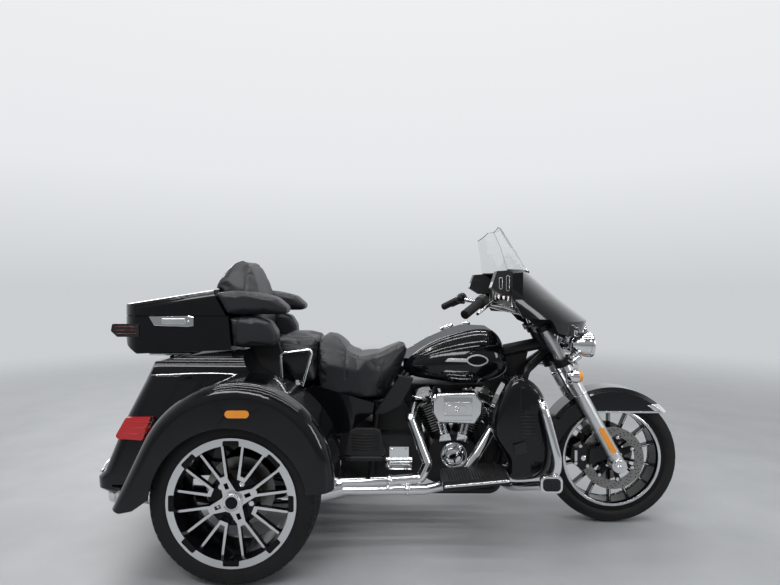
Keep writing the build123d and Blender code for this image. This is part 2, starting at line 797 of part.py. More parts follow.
def body_block(inset):
    """Rear body filled solid, drawn in by an inset on every wall."""
    bend = corner_r - inset
    with BuildPart() as block:
        for height, side_x, middle_x, half in body_rows:
            wide = half - inset
            slim = body_half - inset
            with BuildSketch(Plane.XY.offset(height)):
                with BuildLine():
                    tail = ThreePointArc((side_x + inset, bend - wide), (middle_x + inset, 0), (side_x + inset, wide - bend))
                    right = RadiusArc(tail @ 1, (side_x + inset + bend, wide), bend)
                    Polyline(right @ 1, (-945, wide), (-880, slim), (-450, slim), (-450, -slim), (-880, -slim), (-945, -wide), (side_x + inset + bend, -wide))
                    RadiusArc((side_x + inset + bend, -wide), tail @ 0, bend)
                make_face()
        loft(ruled=True)
        with BuildSketch(Plane.XZ):
            with BuildLine():
                Polyline(*body_side, close=True)
            make_face()
            if inset:
                offset(amount=-inset, kind=Kind.INTERSECTION, mode=Mode.REPLACE)
        extrude(amount=600, both=True, mode=Mode.INTERSECT)
        deck = 430 - inset
        shelf = deck - 60
        flank = 600 - inset
        with BuildSketch(Plane.YZ):
            with BuildLine():
                Polyline((-deck, 780), (-flank, 700), (-flank, 270 + inset), (flank, 270 + inset), (flank, 700), (deck, 780))
                ThreePointArc((deck, 780), (deck - 18, 826 - inset), (shelf, 850 - inset))
                ThreePointArc((shelf, 850 - inset), (0, 880 - inset), (-shelf, 850 - inset))
                ThreePointArc((-shelf, 850 - inset), (18 - deck, 826 - inset), (-deck, 780))
            make_face()
        extrude(amount=1500, both=True, mode=Mode.INTERSECT)
    return block.part


# Rear fenders
fender_in = body_half
side_wall = 5.0
arch_r = 296.0
crown_r = 58.0


def fender_block(inset):
    """Right rear fender filled solid, drawn in by an inset on every wall."""
    with BuildPart() as block:
        with BuildSketch(Plane.XZ.offset(fender_in + inset)):
            with BuildLine():
                rear_edge = Line((-1110 + inset, 298), (-985 + inset, 560))
                crown = TangentArc(rear_edge @ 1, (-619, 786 - inset), tangent=rear_edge % 1)
                brow = TangentArc(crown @ 1, (-262 - inset, 411), tangent=crown % 1)
                front_edge = Line(brow @ 1, brow @ 1 + 121 * (brow % 1))
                Line(front_edge @ 1, rear_edge @ 0)
            make_face()
        extrude(amount=fender_out - fender_in - 2 * inset)
        outer_face = block.faces().sort_by(Axis.Y)[0]
        fillet(outer_face.edges().filter_by(lambda e: e.center().Z > 320), radius=crown_r - inset)
    return block.part


def lid_window(gap):
    """Cutter for the luggage opening in the rear wall, larger by a gap at every edge."""
    half = 320 + gap
    with BuildPart() as cutter:
        with BuildSketch(Plane.XZ.offset(-half)):
            with BuildLine():
                Polyline((-1420, 408 - gap), (-1210, 408 - gap), (-1020, 772 + gap), (-1420, 772 + gap), close=True)
            make_face()
        extrude(amount=2 * half)
    return cutter.part


lid_axis_x = -1135.0
lid_axis_z = 771.0
lid_pin_r = 4.0
knuckle_y = 180.0
with BuildPart() as rear_body:
    add(body_block(0))
    add(body_block(body_wall), mode=Mode.SUBTRACT)
    add(lid_window(0), mode=Mode.SUBTRACT)
    add(fender_block(0), mode=Mode.SUBTRACT)
    add(mirror(fender_block(0), about=Plane.XZ), mode=Mode.SUBTRACT)
    for side in (-1, 1):
        y = side * knuckle_y
        add(rod((lid_axis_x, y - 18, lid_axis_z), (lid_axis_x, y + 18, lid_axis_z), lid_pin_r))
        for shift in (-18, 12):
            add(slab([(-1143, 769), (-1143, 780), (-1120, 792), (-1112, 780), (-1119, 774)], y + shift + 6, y + shift))
    for side in (-1, 1):
        add(rod((-1100, side * muffler_y, 252), (-1420, side * muffler_y, 270), muffler_r + 10), mode=Mode.SUBTRACT)
rear_body.part.label = "rear_body"
export_step(rear_body.part, "parts/rear_body.step")

with BuildPart() as trunk_lid:
    add(body_block(0))
    add(body_block(body_wall), mode=Mode.SUBTRACT)
    add(lid_window(-6), mode=Mode.INTERSECT)
    for y in (-knuckle_y, knuckle_y):
        add(rod((lid_axis_x, y - 10, lid_axis_z), (lid_axis_x, y + 10, lid_axis_z), 8))
        add(slab([(-1143, 771), (-1131, 764), (-1122, 764), (-1128, 738), (-1140, 748)], y + 10, y - 10))
        add(rod((lid_axis_x, y - 18, lid_axis_z), (lid_axis_x, y + 18, lid_axis_z), lid_pin_r + run_gap), mode=Mode.SUBTRACT)
trunk_lid.part.label = "trunk_lid"
export_step(trunk_lid.part, "parts/trunk_lid.step")

def marker_plane(side):
    """Outer face of a fender at its side marker; side is -1 on the right."""
    return Plane(origin=(-618, side * fender_out, 674), x_dir=(1, 0, 0), z_dir=(0, side, 0))


with BuildPart() as rear_fenders:
    add(fender_block(0))
    add(fender_block(side_wall), mode=Mode.SUBTRACT)
    with BuildSketch(rear_plane.offset(fender_out - 70)):
        Circle(arch_r)
        with Locations((0, -arch_r / 2)):
            Rectangle(2 * arch_r, arch_r)
    extrude(amount=80, mode=Mode.SUBTRACT)
    with BuildSketch(Plane.XZ.offset(fender_in - 10)):
        with BuildLine():
            Polyline((-1200, 200), (-1200, 308), (-1096, 308), (-1060, 302), (-1010, 312), (-955, 350), (-350, 374), (-200, 384), (-200, 200), close=True)
        make_face()
    extrude(amount=fender_out - fender_in + 20, mode=Mode.SUBTRACT)
    with BuildSketch(rear_plane.offset(fender_in - 10)):
        Circle(60)
        with Locations((0, -60)):
            Rectangle(120, 120)
    extrude(amount=20, mode=Mode.SUBTRACT)
    with BuildSketch(marker_plane(-1)):
        SlotOverall(90, 28)
    extrude(amount=-2 * side_wall, mode=Mode.SUBTRACT)
    mirror(about=Plane.XZ)
rear_fenders.part.label = "rear_fenders"
export_step(rear_fenders.part, "parts/rear_fenders.step")

# Top case
case_split = 1016.0
case_wall = 4.0
case_side = (
    (-757, 866),
    (-772, 1016),
    (-782, 1018),
    (-839, 1123),
    (-852, 1140),
    (-1215, 1083),
    (-1262, 1052),
    (-1290, 1018),
    (-1284, 985),
    (-1236, 884),
    (-1180, 849),
)
def case_block(inset):
    """Luggage case filled solid, drawn in by an inset on every wall."""
    half = 300 - inset
    tail_x = inset - 1265
    with BuildPart() as block:
        with BuildSketch(Plane.XZ.offset(-310)):
            with BuildLine():
                Polyline(*case_side, close=True)
            make_face()
            if inset:
                offset(amount=-inset, kind=Kind.INTERSECTION, mode=Mode.REPLACE)
        extrude(amount=620)
        with BuildSketch(Plane.XY.offset(800)):
            with BuildLine():
                Polyline((-1150, half), (-760, half), (-742, half - 20), (-742, 20 - half), (-760, -half), (-1150, -half))
                TangentArc((-1150, -half), (tail_x, -205), tangent=(-1, 0))
                ThreePointArc((tail_x, -205), (tail_x - 27, 0), (tail_x, 205))
                TangentArc((-1150, half), (tail_x, 205), tangent=(-1, 0))
            make_face()
        extrude(amount=400, mode=Mode.INTERSECT)
        brow = Plane(origin=(-852, 0, 1136), x_dir=(0, 1, 0), z_dir=(363, 0, 57))
        with BuildSketch(brow):
            with BuildLine():
                Polyline((half, -40), (half, -420), (-half, -420), (-half, -40))
                ThreePointArc((-half, -40), (11 - half, -17 - inset), (40 - half, -6 - inset))
                ThreePointArc((40 - half, -6 - inset), (0, -inset), (half - 40, -6 - inset))
                ThreePointArc((half - 40, -6 - inset), (half - 11, -17 - inset), (half, -40))
            make_face()
        extrude(amount=520, both=True, mode=Mode.INTERSECT)
    return block.part


seam = 1.5
case_axis_y = 306.0
case_pin_r = 3.0
case_knuckles = (-900.0, -1100.0)
with BuildPart() as top_case:
    add(case_block(0))
    add(case_block(case_wall), mode=Mode.SUBTRACT)
    with BuildSketch(Plane.XY.offset(case_split - seam)):
        Rectangle(3000, 1000)
    extrude(amount=300, mode=Mode.SUBTRACT)
    for x in case_knuckles:
        add(rod((x - 20, case_axis_y, case_split), (x + 20, case_axis_y, case_split), case_pin_r))
        for start in (x - 20, x + 10):
            add(rod((start, case_axis_y, case_split), (start + 10, case_axis_y, case_split), 6))
            add(slab([(start, 996), (start, 1014), (start + 10, 1014), (start + 10, 996)], case_axis_y - 6, case_axis_y + 2))
top_case.part.label = "top_case"
export_step(top_case.part, "parts/top_case.step")

with BuildPart() as top_case_lid:
    add(case_block(0))
    add(case_block(case_wall), mode=Mode.SUBTRACT)
    with BuildSketch(Plane.XY.offset(case_split + seam)):
        Rectangle(3000, 1000)
    extrude(amount=-300, mode=Mode.SUBTRACT)
    for x in case_knuckles:
        add(rod((x - 8, case_axis_y, case_split), (x + 8, case_axis_y, case_split), 6))
        add(slab([(x - 8, 1018), (x - 8, 1034), (x + 8, 1034), (x + 8, 1018)], case_axis_y - 6, case_axis_y + 2))
        add(rod((x - 20, case_axis_y, case_split), (x + 20, case_axis_y, case_split), case_pin_r + run_gap), mode=Mode.SUBTRACT)
top_case_lid.part.label = "top_case_lid"
export_step(top_case_lid.part, "parts/top_case_lid.step")

with BuildPart() as tail_lamps:
    add(slab([(-1174, 530), (-1126, 614), (-1002, 619), (-1060, 522)], -400, -502, corner=12))
    add(slab([(-1262, 924), (-1290, 950), (-1284, 982), (-1165, 982), (-1165, 924)], -196, -303, corner=8))
    mirror(about=Plane.XZ)
    add(body_block(0), mode=Mode.SUBTRACT)
    add(case_block(0), mode=Mode.SUBTRACT)
    add(rear_fenders.part, mode=Mode.SUBTRACT)
    add(fender_block(0), mode=Mode.SUBTRACT)
    add(mirror(fender_block(0), about=Plane.XZ), mode=Mode.SUBTRACT)
    for side in (-1, 1):
        with BuildSketch(marker_plane(side)):
            SlotOverall(90, 28)
        extrude(amount=-side_wall)
tail_lamps.part.label = "tail_lamps"
export_step(tail_lamps.part, "parts/tail_lamps.step")

# Seats
# Each seat is a side outline cut to a plan or to a view from the front
seat_half = 186.0
rider_side = (
    (-398, 628),
    (-398, 914),
    (-366, 926),
    (-326, 914),
    (-258, 832),
    (-201, 808),
    (-105, 821),
    (-11, 863),
    (14, 877),
    (28, 858),
    (-16, 746),
    (-62, 655),
    (-105, 622),
    (-380, 622),
)
with BuildPart() as rider_seat:
    add(slab(rider_side, -seat_half, seat_half))
    with BuildSketch(Plane.XY.offset(500)) as seat_plan:
        with BuildLine():
            Polyline((-400, -186), (-170, -186), (-30, -112), (40, -66), (40, 66), (-30, 112), (-170, 186), (-400, 186), close=True)
        make_face()
        fillet(seat_plan.vertices().filter_by(lambda v: v.X > -350), radius=30)
    extrude(amount=500, mode=Mode.INTERSECT)
    with BuildSketch(Plane.YZ):
        with BuildLine():
            Polyline((-seat_half, 780), (-seat_half, 600), (seat_half, 600), (seat_half, 780))
            ThreePointArc((seat_half, 780), (150, 870), (90, 912))
            ThreePointArc((90, 912), (0, 926), (-90, 912))
            ThreePointArc((-90, 912), (-150, 870), (-seat_half, 780))
        make_face()
    extrude(amount=500, both=True, mode=Mode.INTERSECT)
    with BuildSketch(Plane.YZ.offset(-410)):
        Rectangle(250, 1380)
    extrude(amount=330, mode=Mode.SUBTRACT)
    add(tank_console.part, mode=Mode.SUBTRACT)
    add(fuel_tank.part, mode=Mode.SUBTRACT)
    add(frame.part, mode=Mode.SUBTRACT)
rider_seat.part.label = "rider_seat"
export_step(rider_seat.part, "parts/rider_seat.step")

with BuildPart() as passenger_seat:
    add(slab([(-604, 792), (-604, 900), (-580, 920), (-500, 926), (-417, 926), (-398.3, 912), (-398.3, 700), (-500, 700), (-560, 760)], -180, 180))
    with BuildSketch(Plane.YZ.offset(-700)):
        with BuildLine():
            Polyline((-180, 880), (-180, 690), (180, 690), (180, 880))
            ThreePointArc((180, 880), (164, 906), (130, 918))
            ThreePointArc((130, 918), (0, 924), (-130, 918))
            ThreePointArc((-130, 918), (-164, 906), (-180, 880))
        make_face()
    extrude(amount=400, mode=Mode.INTERSECT)
passenger_seat.part.label = "passenger_seat"
export_step(passenger_seat.part, "parts/passenger_seat.step")

# The back pad and its two arms ride on the lid of the luggage case
pad_half = 180.0
pad_side = (
    (-750, 936),
    (-760, 1014),
    (-764, 1022),
    (-783.7, 1022),
    (-838.7, 1124),
    (-850.4, 1140.8),
    (-876, 1137),
    (-866, 1175),
    (-832, 1228),
    (-796, 1264),
    (-762, 1280),
    (-737, 1266),
    (-713, 1225),
    (-690, 1170),
    (-672, 1110),
    (-660, 1040),
    (-664, 936),
)
arm_side = [(-783.7, 1022), (-838.4, 1123), (-700, 1129), (-559, 1100), (-508, 1054), (-512, 1022)]
with BuildPart() as backrest:
    add(slab(pad_side, -pad_half, pad_half))
    with BuildSketch(Plane.YZ.offset(-900)) as front_view:
        with BuildLine():
            Polyline((-pad_half, 930), (-pad_half, 1130), (-126, 1282), (126, 1282), (pad_half, 1130), (pad_half, 930), close=True)
        make_face()
        fillet(front_view.vertices().filter_by(lambda v: v.Z > 1000), radius=46)
    extrude(amount=400, mode=Mode.INTERSECT)
    for side in (-1, 1):
        add(slab(arm_side, side * 184, side * 298, corner=14, edge=13))
backrest.part.label = "backrest"
export_step(backrest.part, "parts/backrest.step")

# Trim round the seats
with BuildPart() as arm_pods:
    add(slab([(-740, 874), (-740, 1011), (-640, 1011), (-588, 994), (-558, 944), (-556, 900), (-572, 874)], -198, -298, corner=16, edge=15))
    add(slab([(-757.4, 880), (-770.8, 1008), (-700, 1008), (-700, 880)], -206, -290))
    mirror(about=Plane.XZ)
    add(top_case.part, mode=Mode.SUBTRACT)
    add(rear_body.part, mode=Mode.SUBTRACT)
arm_pods.part.label = "arm_pods"
export_step(arm_pods.part, "parts/arm_pods.step")

with BuildPart() as luggage_rails:
    add(slab([(-1056, 800), (-1056, 880), (-700, 880), (-700, 800)], -190, -150))
    add(tube([(-552, -200, 680), (-560, -200, 838), (-411, -200, 858), (-460, -200, 690)], 18, 8))
    add(rod((-556, -200, 690), (-556, -110, 690), 8))
    mirror(about=Plane.XZ)
    add(body_block(0), mode=Mode.SUBTRACT)
    add(case_block(0), mode=Mode.SUBTRACT)
    add(passenger_seat.part, mode=Mode.SUBTRACT)
    add(rider_seat.part, mode=Mode.SUBTRACT)
luggage_rails.part.label = "luggage_rails"
export_step(luggage_rails.part, "parts/luggage_rails.step")

with BuildPart() as side_covers:
    add(slab([(-20, 720), (-20, 735), (50, 722), (38, 690), (-10, 600), (-90, 560), (-128, 560)], -195, -150))
    add(slab([(-500, 560), (-500, 655), (-400, 690), (-130, 610), (-138, 560), (-260, 470), (-400, 470)], -192, -158))
    add(rod((-62, -165, 604), (-62, -95, 601), 9))
    mirror(about=Plane.XZ)
    add(frame.part, mode=Mode.SUBTRACT)
    add(rider_seat.part, mode=Mode.SUBTRACT)
    add(fuel_tank.part, mode=Mode.SUBTRACT)
    add(rear_body.part, mode=Mode.SUBTRACT)
side_covers.part.label = "side_covers"
export_step(side_covers.part, "parts/side_covers.step")

guard_r = 19.0
with BuildPart() as engine_guard:
    add(
        tube(
            [(572, -72, 640), (588, -230, 664), (590, -396, 650), (652, -420, 400), (616, -405, 312), (480, -260, 250), (456, -119, 236)],
            40,
            guard_r,
        )
    )
    mirror(about=Plane.XZ)
    add(frame.part, mode=Mode.SUBTRACT)
engine_guard.part.label = "engine_guard"
export_step(engine_guard.part, "parts/engine_guard.step")

shield_in = 215.0
shield_out = 372.0
shield_side = (
    (452, 316),
    (468, 392),
    (428, 450),
    (392, 512),
    (402, 600),
    (440, 690),
    (490, 757),
    (548, 735),
    (596, 688),
    (618, 620),
    (632, 522),
    (640, 430),
    (622, 345),
    (568, 322),
)
shield_hollow = (
    (300, 200),
    (300, 751),
    (487, 750),
    (544, 729),
    (590, 684),
    (612, 618),
    (626, 521),
    (634, 430),
    (617, 349),
    (567, 328),
    (560, 200),
)
with BuildPart() as leg_shields:
    add(slab(shield_side, -shield_in, -shield_out, corner=10))
    add(slab(shield_hollow, -shield_in + 10, -shield_out + 6), mode=Mode.SUBTRACT)
    with BuildSketch(Plane(origin=(535, -shield_out, 560), x_dir=(1, 0, 0), z_dir=(0, -1, 0))) as vent:
        Rectangle(92, 150, rotation=-8)
        fillet(vent.vertices(), radius=16)
    extrude(amount=5)
    mirror(about=Plane.XZ)
    add(engine_guard.part, mode=Mode.SUBTRACT)
    add(exhaust.part, mode=Mode.SUBTRACT)
    add(frame.part, mode=Mode.SUBTRACT)
leg_shields.part.label = "leg_shields"
export_step(leg_shields.part, "parts/leg_shields.step")

board_y = 250.0
board_w = 170.0
with BuildPart() as rider_footboards:
    add(slab([(170, 286), (166, 326), (180, 330), (420, 350), (446, 344), (448, 324), (420, 316), (187, 286)], -board_y, -board_y - board_w))
    add(rod((260, -board_y - 20, 300), (260, -140, 200), 13))
    add(rod((400, -board_y - 20, 318), (400, -140, 210), 13))
    add(tube([(380, -150, 262), (470, -300, 350), (500, -340, 432)], 20, 9))
    add(slab([(478, 428), (470, 470), (520, 486), (530, 440)], -385, -300))
    mirror(about=Plane.XZ)
    add(frame.part, mode=Mode.SUBTRACT)
    add(engine_covers.part, mode=Mode.SUBTRACT)
    add(engine_cases.part, mode=Mode.SUBTRACT)
    add(exhaust.part, mode=Mode.SUBTRACT)
    add(leg_shields.part, mode=Mode.SUBTRACT)
    add(engine_guard.part, mode=Mode.SUBTRACT)
rider_footboards.part.label = "rider_footboards"
export_step(rider_footboards.part, "parts/rider_footboards.step")


def fold_board(side):
    """Passenger footboard folded up against the side; side is -1 on the right."""
    near = side * (board_hinge_y - 12)
    far = side * (board_hinge_y + 12)
    with BuildPart() as board:
        add(slab([(-250, 418), (-228, 520), (-205, 530), (-120, 530), (-97, 520), (-75, 418)], near, far))
        add(slab([(-226, 400), (-226, 420), (-98, 420), (-98, 400)], side * (board_hinge_y - 8), side * (board_hinge_y + 8)))
        add(rod((-230, side * board_hinge_y, board_hinge_z), (-90, side * board_hinge_y, board_hinge_z), 12))
        add(
            rod((-240, side * board_hinge_y, board_hinge_z), (-80, side * board_hinge_y, board_hinge_z), board_pin_r + run_gap),
            mode=Mode.SUBTRACT,
        )
    return board.part


with BuildPart() as passenger_board_right:
    add(fold_board(-1))
passenger_board_right.part.label = "passenger_board_right"
export_step(passenger_board_right.part, "parts/passenger_board_right.step")

with BuildPart() as passenger_board_left:
    add(fold_board(1))
passenger_board_left.part.label = "passenger_board_left"
export_step(passenger_board_left.part, "parts/passenger_board_left.step")
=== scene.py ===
import math
import bmesh
import bpy
import numpy as np
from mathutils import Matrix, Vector
from mathutils.bvhtree import BVHTree


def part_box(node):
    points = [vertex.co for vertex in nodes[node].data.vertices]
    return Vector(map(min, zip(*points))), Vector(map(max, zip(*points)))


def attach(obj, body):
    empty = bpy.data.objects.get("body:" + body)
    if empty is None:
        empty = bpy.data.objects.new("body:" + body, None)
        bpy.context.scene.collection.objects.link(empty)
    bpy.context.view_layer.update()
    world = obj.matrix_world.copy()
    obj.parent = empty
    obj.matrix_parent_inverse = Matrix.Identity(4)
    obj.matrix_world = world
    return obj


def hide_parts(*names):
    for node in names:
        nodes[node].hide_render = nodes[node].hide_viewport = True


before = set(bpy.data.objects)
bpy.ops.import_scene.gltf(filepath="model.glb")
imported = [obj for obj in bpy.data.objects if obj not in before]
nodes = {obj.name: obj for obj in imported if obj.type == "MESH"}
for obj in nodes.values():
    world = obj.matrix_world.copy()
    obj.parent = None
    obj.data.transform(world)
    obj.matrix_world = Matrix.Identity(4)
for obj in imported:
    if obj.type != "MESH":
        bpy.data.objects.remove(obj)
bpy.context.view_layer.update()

# Camera: focal length and width of the photograph in pixels, width of the sensor
focal_px, photo_px, sensor_mm = 541.0, 780.0, 36.0
cam_data = bpy.data.cameras.new("camera")
cam_data.sensor_width = sensor_mm
cam_data.lens = focal_px / photo_px * sensor_mm
cam = bpy.data.objects.new("camera", cam_data)
bpy.context.scene.collection.objects.link(cam)
cam.location = (-0.0343, -2.68, 1.14)
look = Vector((-5.0 / focal_px, 1.0, -4.5 / focal_px))
cam.rotation_euler = look.to_track_quat("-Z", "Y").to_euler()
bpy.context.scene.camera = cam


# Materials
def new_mat(name):
    m = bpy.data.materials.new(name)
    m.use_nodes = True
    return m, m.node_tree.nodes, m.node_tree.links, m.node_tree.nodes["Principled BSDF"]


def add_node(n, kind, operation=None, **values):
    """A shader node with some of its inputs set; an underscore stands for a space in their names."""
    node = n.new("ShaderNode" + kind)
    if operation:
        node.operation = operation
    for key, value in values.items():
        node.inputs[key.replace("_", " ")].default_value = value
    return node


def noise(n, l, scale, detail):
    """A noise texture in the piece's own coordinates."""
    tex = add_node(n, "TexNoise", Scale=scale, Detail=detail)
    l.new(n.new("ShaderNodeTexCoord").outputs["Object"], tex.inputs["Vector"])
    return tex


def ramp(n, l, source, stops):
    """A colour ramp of (place, colour) stops."""
    r = n.new("ShaderNodeValToRGB")
    els = r.color_ramp.elements
    while len(els) < len(stops):
        els.new(0.5)
    for e, (at, c) in zip(els, stops):
        e.position = at
        e.color = (c, c, c, 1) if isinstance(c, float) else (*c, 1)
    l.new(source, r.inputs["Fac"])
    return r


def bump(n, l, b, height, strength, distance):
    bp = add_node(n, "Bump", Strength=strength, Distance=distance)
    l.new(height, bp.inputs["Height"])
    l.new(bp.outputs["Normal"], b.inputs["Normal"])


def finish_mat(name, colour, rough, metallic=0.0, grain=200.0, vary=0.12, tone=0.15, depth=0.0002, strength=0.1,
        coat=0.0, coat_rough=0.03, shine=0.5):
    """Surface whose colour and roughness drift a little, with a fine grain."""
    m, n, l, b = new_mat(name)
    broad = noise(n, l, 6.0, 5.0)
    dark = tuple(c * (1 - tone) for c in colour)
    light = tuple(min(1.0, c * (1 + tone)) for c in colour)
    c = ramp(n, l, broad.outputs["Fac"], [(0.3, dark), (0.7, light)])
    l.new(c.outputs["Color"], b.inputs["Base Color"])
    fine = noise(n, l, grain, 3.0)
    r = ramp(n, l, broad.outputs["Fac"], [(0.25, float(max(0.0, rough - vary * rough))),
        (0.75, float(min(1.0, rough + vary * rough)))])
    l.new(r.outputs["Color"], b.inputs["Roughness"])
    b.inputs["Metallic"].default_value = metallic
    b.inputs["Specular IOR Level"].default_value = shine
    bump(n, l, b, fine.outputs["Fac"], strength, depth)
    if coat:
        b.inputs["Coat IOR"].default_value = 1.4
        b.inputs["Coat Weight"].default_value = coat
        b.inputs["Coat Roughness"].default_value = coat_rough
    return m


# Name, colour, roughness, metal, grain scale, drift of roughness and of tone, bump depth and strength,
# coat, roughness of the coat, shine
paint = finish_mat("paint_gloss_black", (0.0035, 0.0037, 0.0048), 0.16, 0.0, 900.0, 0.25, 0.2, 0.00002, 0.05, 1.0,
    0.015, 0.1)
frame_black = finish_mat("frame_powder_black", (0.008, 0.008, 0.009), 0.34, 0.0, 700.0, 0.2, 0.2, 0.0001, 0.25,
    shine=0.35)
engine_black = finish_mat("engine_wrinkle_black", (0.011, 0.011, 0.012), 0.5, 0.0, 500.0, 0.2, 0.25, 0.0002, 0.5,
    shine=0.35)
chrome = finish_mat("chrome_plate", (0.86, 0.87, 0.88), 0.055, 1.0, 40.0, 0.4, 0.03, 0.00005, 0.02)
satin_alloy = finish_mat("satin_alloy", (0.8, 0.81, 0.82), 0.34, 1.0, 600.0, 0.2, 0.06, 0.00005, 0.15)
machined = finish_mat("machined_alloy", (0.78, 0.79, 0.8), 0.2, 1.0, 300.0, 0.25, 0.05, 0.00003, 0.1)
disc_steel = finish_mat("ground_steel", (0.3, 0.295, 0.285), 0.36, 1.0, 800.0, 0.25, 0.12, 0.00004, 0.2)
trim = finish_mat("grained_black_plastic", (0.012, 0.012, 0.0135), 0.48, 0.0, 1200.0, 0.15, 0.15, 0.0002, 0.5,
    shine=0.35)
rubber = finish_mat("moulded_rubber", (0.01, 0.01, 0.0105), 0.6, 0.0, 900.0, 0.12, 0.2, 0.0002, 0.4, shine=0.3)
tyre_rubber = finish_mat("tyre_rubber", (0.011, 0.011, 0.0118), 0.62, 0.0, 420.0, 0.12, 0.3, 0.0003, 0.35, shine=0.25)
wheel_black = finish_mat("wheel_gloss_black", (0.003, 0.003, 0.004), 0.26, 0.0, 900.0, 0.25, 0.2, 0.00002, 0.05, 0.35,
    0.05, 0.1)
leather = finish_mat("seat_hide", (0.011, 0.0115, 0.0145), 0.42, 0.0, 260.0, 0.15, 0.12, 0.0006, 0.5, shine=0.5)
back_hide = finish_mat("back_hide", (0.024, 0.025, 0.027), 0.46, 0.0, 260.0, 0.15, 0.12, 0.0006, 0.5, shine=0.5)
console_plate = finish_mat("console_plate", (0.68, 0.69, 0.71), 0.08, 1.0, 60.0, 0.3, 0.05, 0.00005, 0.03)
amber = finish_mat("amber_lens", (0.85, 0.3, 0.02), 0.18, 0.0, 300.0, 0.2, 0.1, 0.0002, 0.2, 1.0, 0.03)
deep_red = finish_mat("deep_red_lens", (0.1, 0.004, 0.005), 0.2, 0.0, 300.0, 0.2, 0.1, 0.0002, 0.2, 1.0, 0.03)
red_lens = finish_mat("red_lens", (0.55, 0.012, 0.015), 0.14, 0.0, 300.0, 0.2, 0.1, 0.0002, 0.2, 1.0, 0.03)


def glass_mat(name, tint, rough):
    m, n, l, b = new_mat(name)
    tex = noise(n, l, 12.0, 3.0)
    r = ramp(n, l, tex.outputs["Fac"], [(0.2, rough), (0.8, rough * 2)])
    l.new(r.outputs["Color"], b.inputs["Roughness"])
    b.inputs["Base Color"].default_value = (*tint, 1)
    b.inputs["Transmission Weight"].default_value = 1.0
    b.inputs["IOR"].default_value = 1.47
    return m


screen = glass_mat("clear_screen", (0.96, 0.975, 0.98), 0.01)
lamp_clear = glass_mat("clear_lens", (0.95, 0.96, 0.97), 0.02)

for mat, names in (
    (paint, "fuel_tank rear_body rear_fenders trunk_lid top_case top_case_lid"),
    (paint, "leg_shields fairing_shell front_fender"),
    (frame_black, "frame rear_axle fork_clamps brake_calipers"),
    (engine_black, "engine_cases cylinders"),
    (chrome, "engine_covers air_cleaner exhaust engine_guard luggage_rails"),
    (chrome, "handlebar headlamp passing_lamps"),
    (satin_alloy, "fork_legs"),
    (disc_steel, "front_discs"),
    (console_plate, "tank_console"),
    (wheel_black, "front_wheel rear_wheel_right rear_wheel_left"),
    (tyre_rubber, "front_tyre rear_tyre_right rear_tyre_left"),
    (rubber, "drive_belt hand_controls"),
    (trim, "side_covers fairing_dash rider_footboards passenger_board_right passenger_board_left"),
    (leather, "rider_seat passenger_seat arm_pods"),
    (back_hide, "backrest"),
    (red_lens, "tail_lamps"),
    (screen, "windscreen"),
):
    for name in names.split():
        nodes[name].data.materials.clear()
        nodes[name].data.materials.append(mat)


# Pressed and cast edges are rounded by modifiers, the CAD meshes stay as they are
for width, names in (
    (0.0012, "cylinders"),
    (0.0015, "front_fender"),
    (0.002, "air_cleaner"),
    (0.003, "rear_fenders trunk_lid top_case_lid leg_shields fairing_dash fuel_tank engine_covers"),
    (0.003, "rider_footboards passenger_board_right passenger_board_left brake_calipers tail_lamps"),
    (0.004, "rear_body top_case tank_console"),
    (0.005, "side_covers engine_cases"),
):
    for name in names.split():
        ob = nodes[name]
        weld = ob.modifiers.new("weld", "WELD")
        weld.merge_threshold = 0.00002
        edge = ob.modifiers.new("edge", "BEVEL")
        edge.width = width
        edge.segments = 2
        edge.limit_method = "ANGLE"
        edge.angle_limit = math.radians(32)
        edge.use_clamp_overlap = True
        weighted = ob.modifiers.new("normals", "WEIGHTED_NORMAL")
        weighted.keep_sharp = False
        weighted.weight = 80


# Shapes
def make(name, verts, faces, mat, body, smooth=True):
    """A mesh object in row-frame metres that moves with a body."""
    me = bpy.data.meshes.new(name)
    me.from_pydata([tuple(v) for v in verts], [], [tuple(f) for f in faces])
    me.materials.append(mat)
    bm = bmesh.new()
    bm.from_mesh(me)
    bmesh.ops.recalc_face_normals(bm, faces=bm.faces)
    bm.to_mesh(me)
    bm.free()
    for p in me.polygons:
        p.use_smooth = smooth
    ob = bpy.data.objects.new(name, me)
    bpy.context.scene.collection.objects.link(ob)
    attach(ob, body)
    return ob


def soften(ob, width, segments=2, angle=35.0):
    """Rounds the sharp edges so that they catch light."""
    b = ob.modifiers.new("bevel", "BEVEL")
    b.width = width
    b.segments = segments
    b.limit_method = "ANGLE"
    b.angle_limit = math.radians(angle)
    b.harden_normals = False
    return ob


ahead_dir = (1, 0, 0)
back_dir = (-1, 0, 0)
right_dir = (0, -1, 0)


def basis(axis):
    """Two directions square to an axis."""
    a = Vector(axis).normalized()
    side = Vector((0, 0, 1)) if abs(a.z) < 0.9 else Vector((1, 0, 0))
    u = side.cross(a).normalized()
    return a, u, a.cross(u)


def tube_faces(rows, n):
    """Faces between rows of n points round an axis, with a cap at each end."""
    faces = []
    for i in range(rows - 1):
        for k in range(n):
            j = (k + 1) % n
            faces.append((i * n + k, i * n + j, (i + 1) * n + j, (i + 1) * n + k))
    last = (rows - 1) * n
    return faces + [tuple(range(n - 1, -1, -1)), tuple(range(last, last + n))]


def slab_faces(n):
    """Faces of a plate between two like loops of n points."""
    sides = [(i, i + n, (i + 1) % n + n, (i + 1) % n) for i in range(n)]
    return [tuple(range(n)), tuple(range(2 * n - 1, n - 1, -1))] + sides


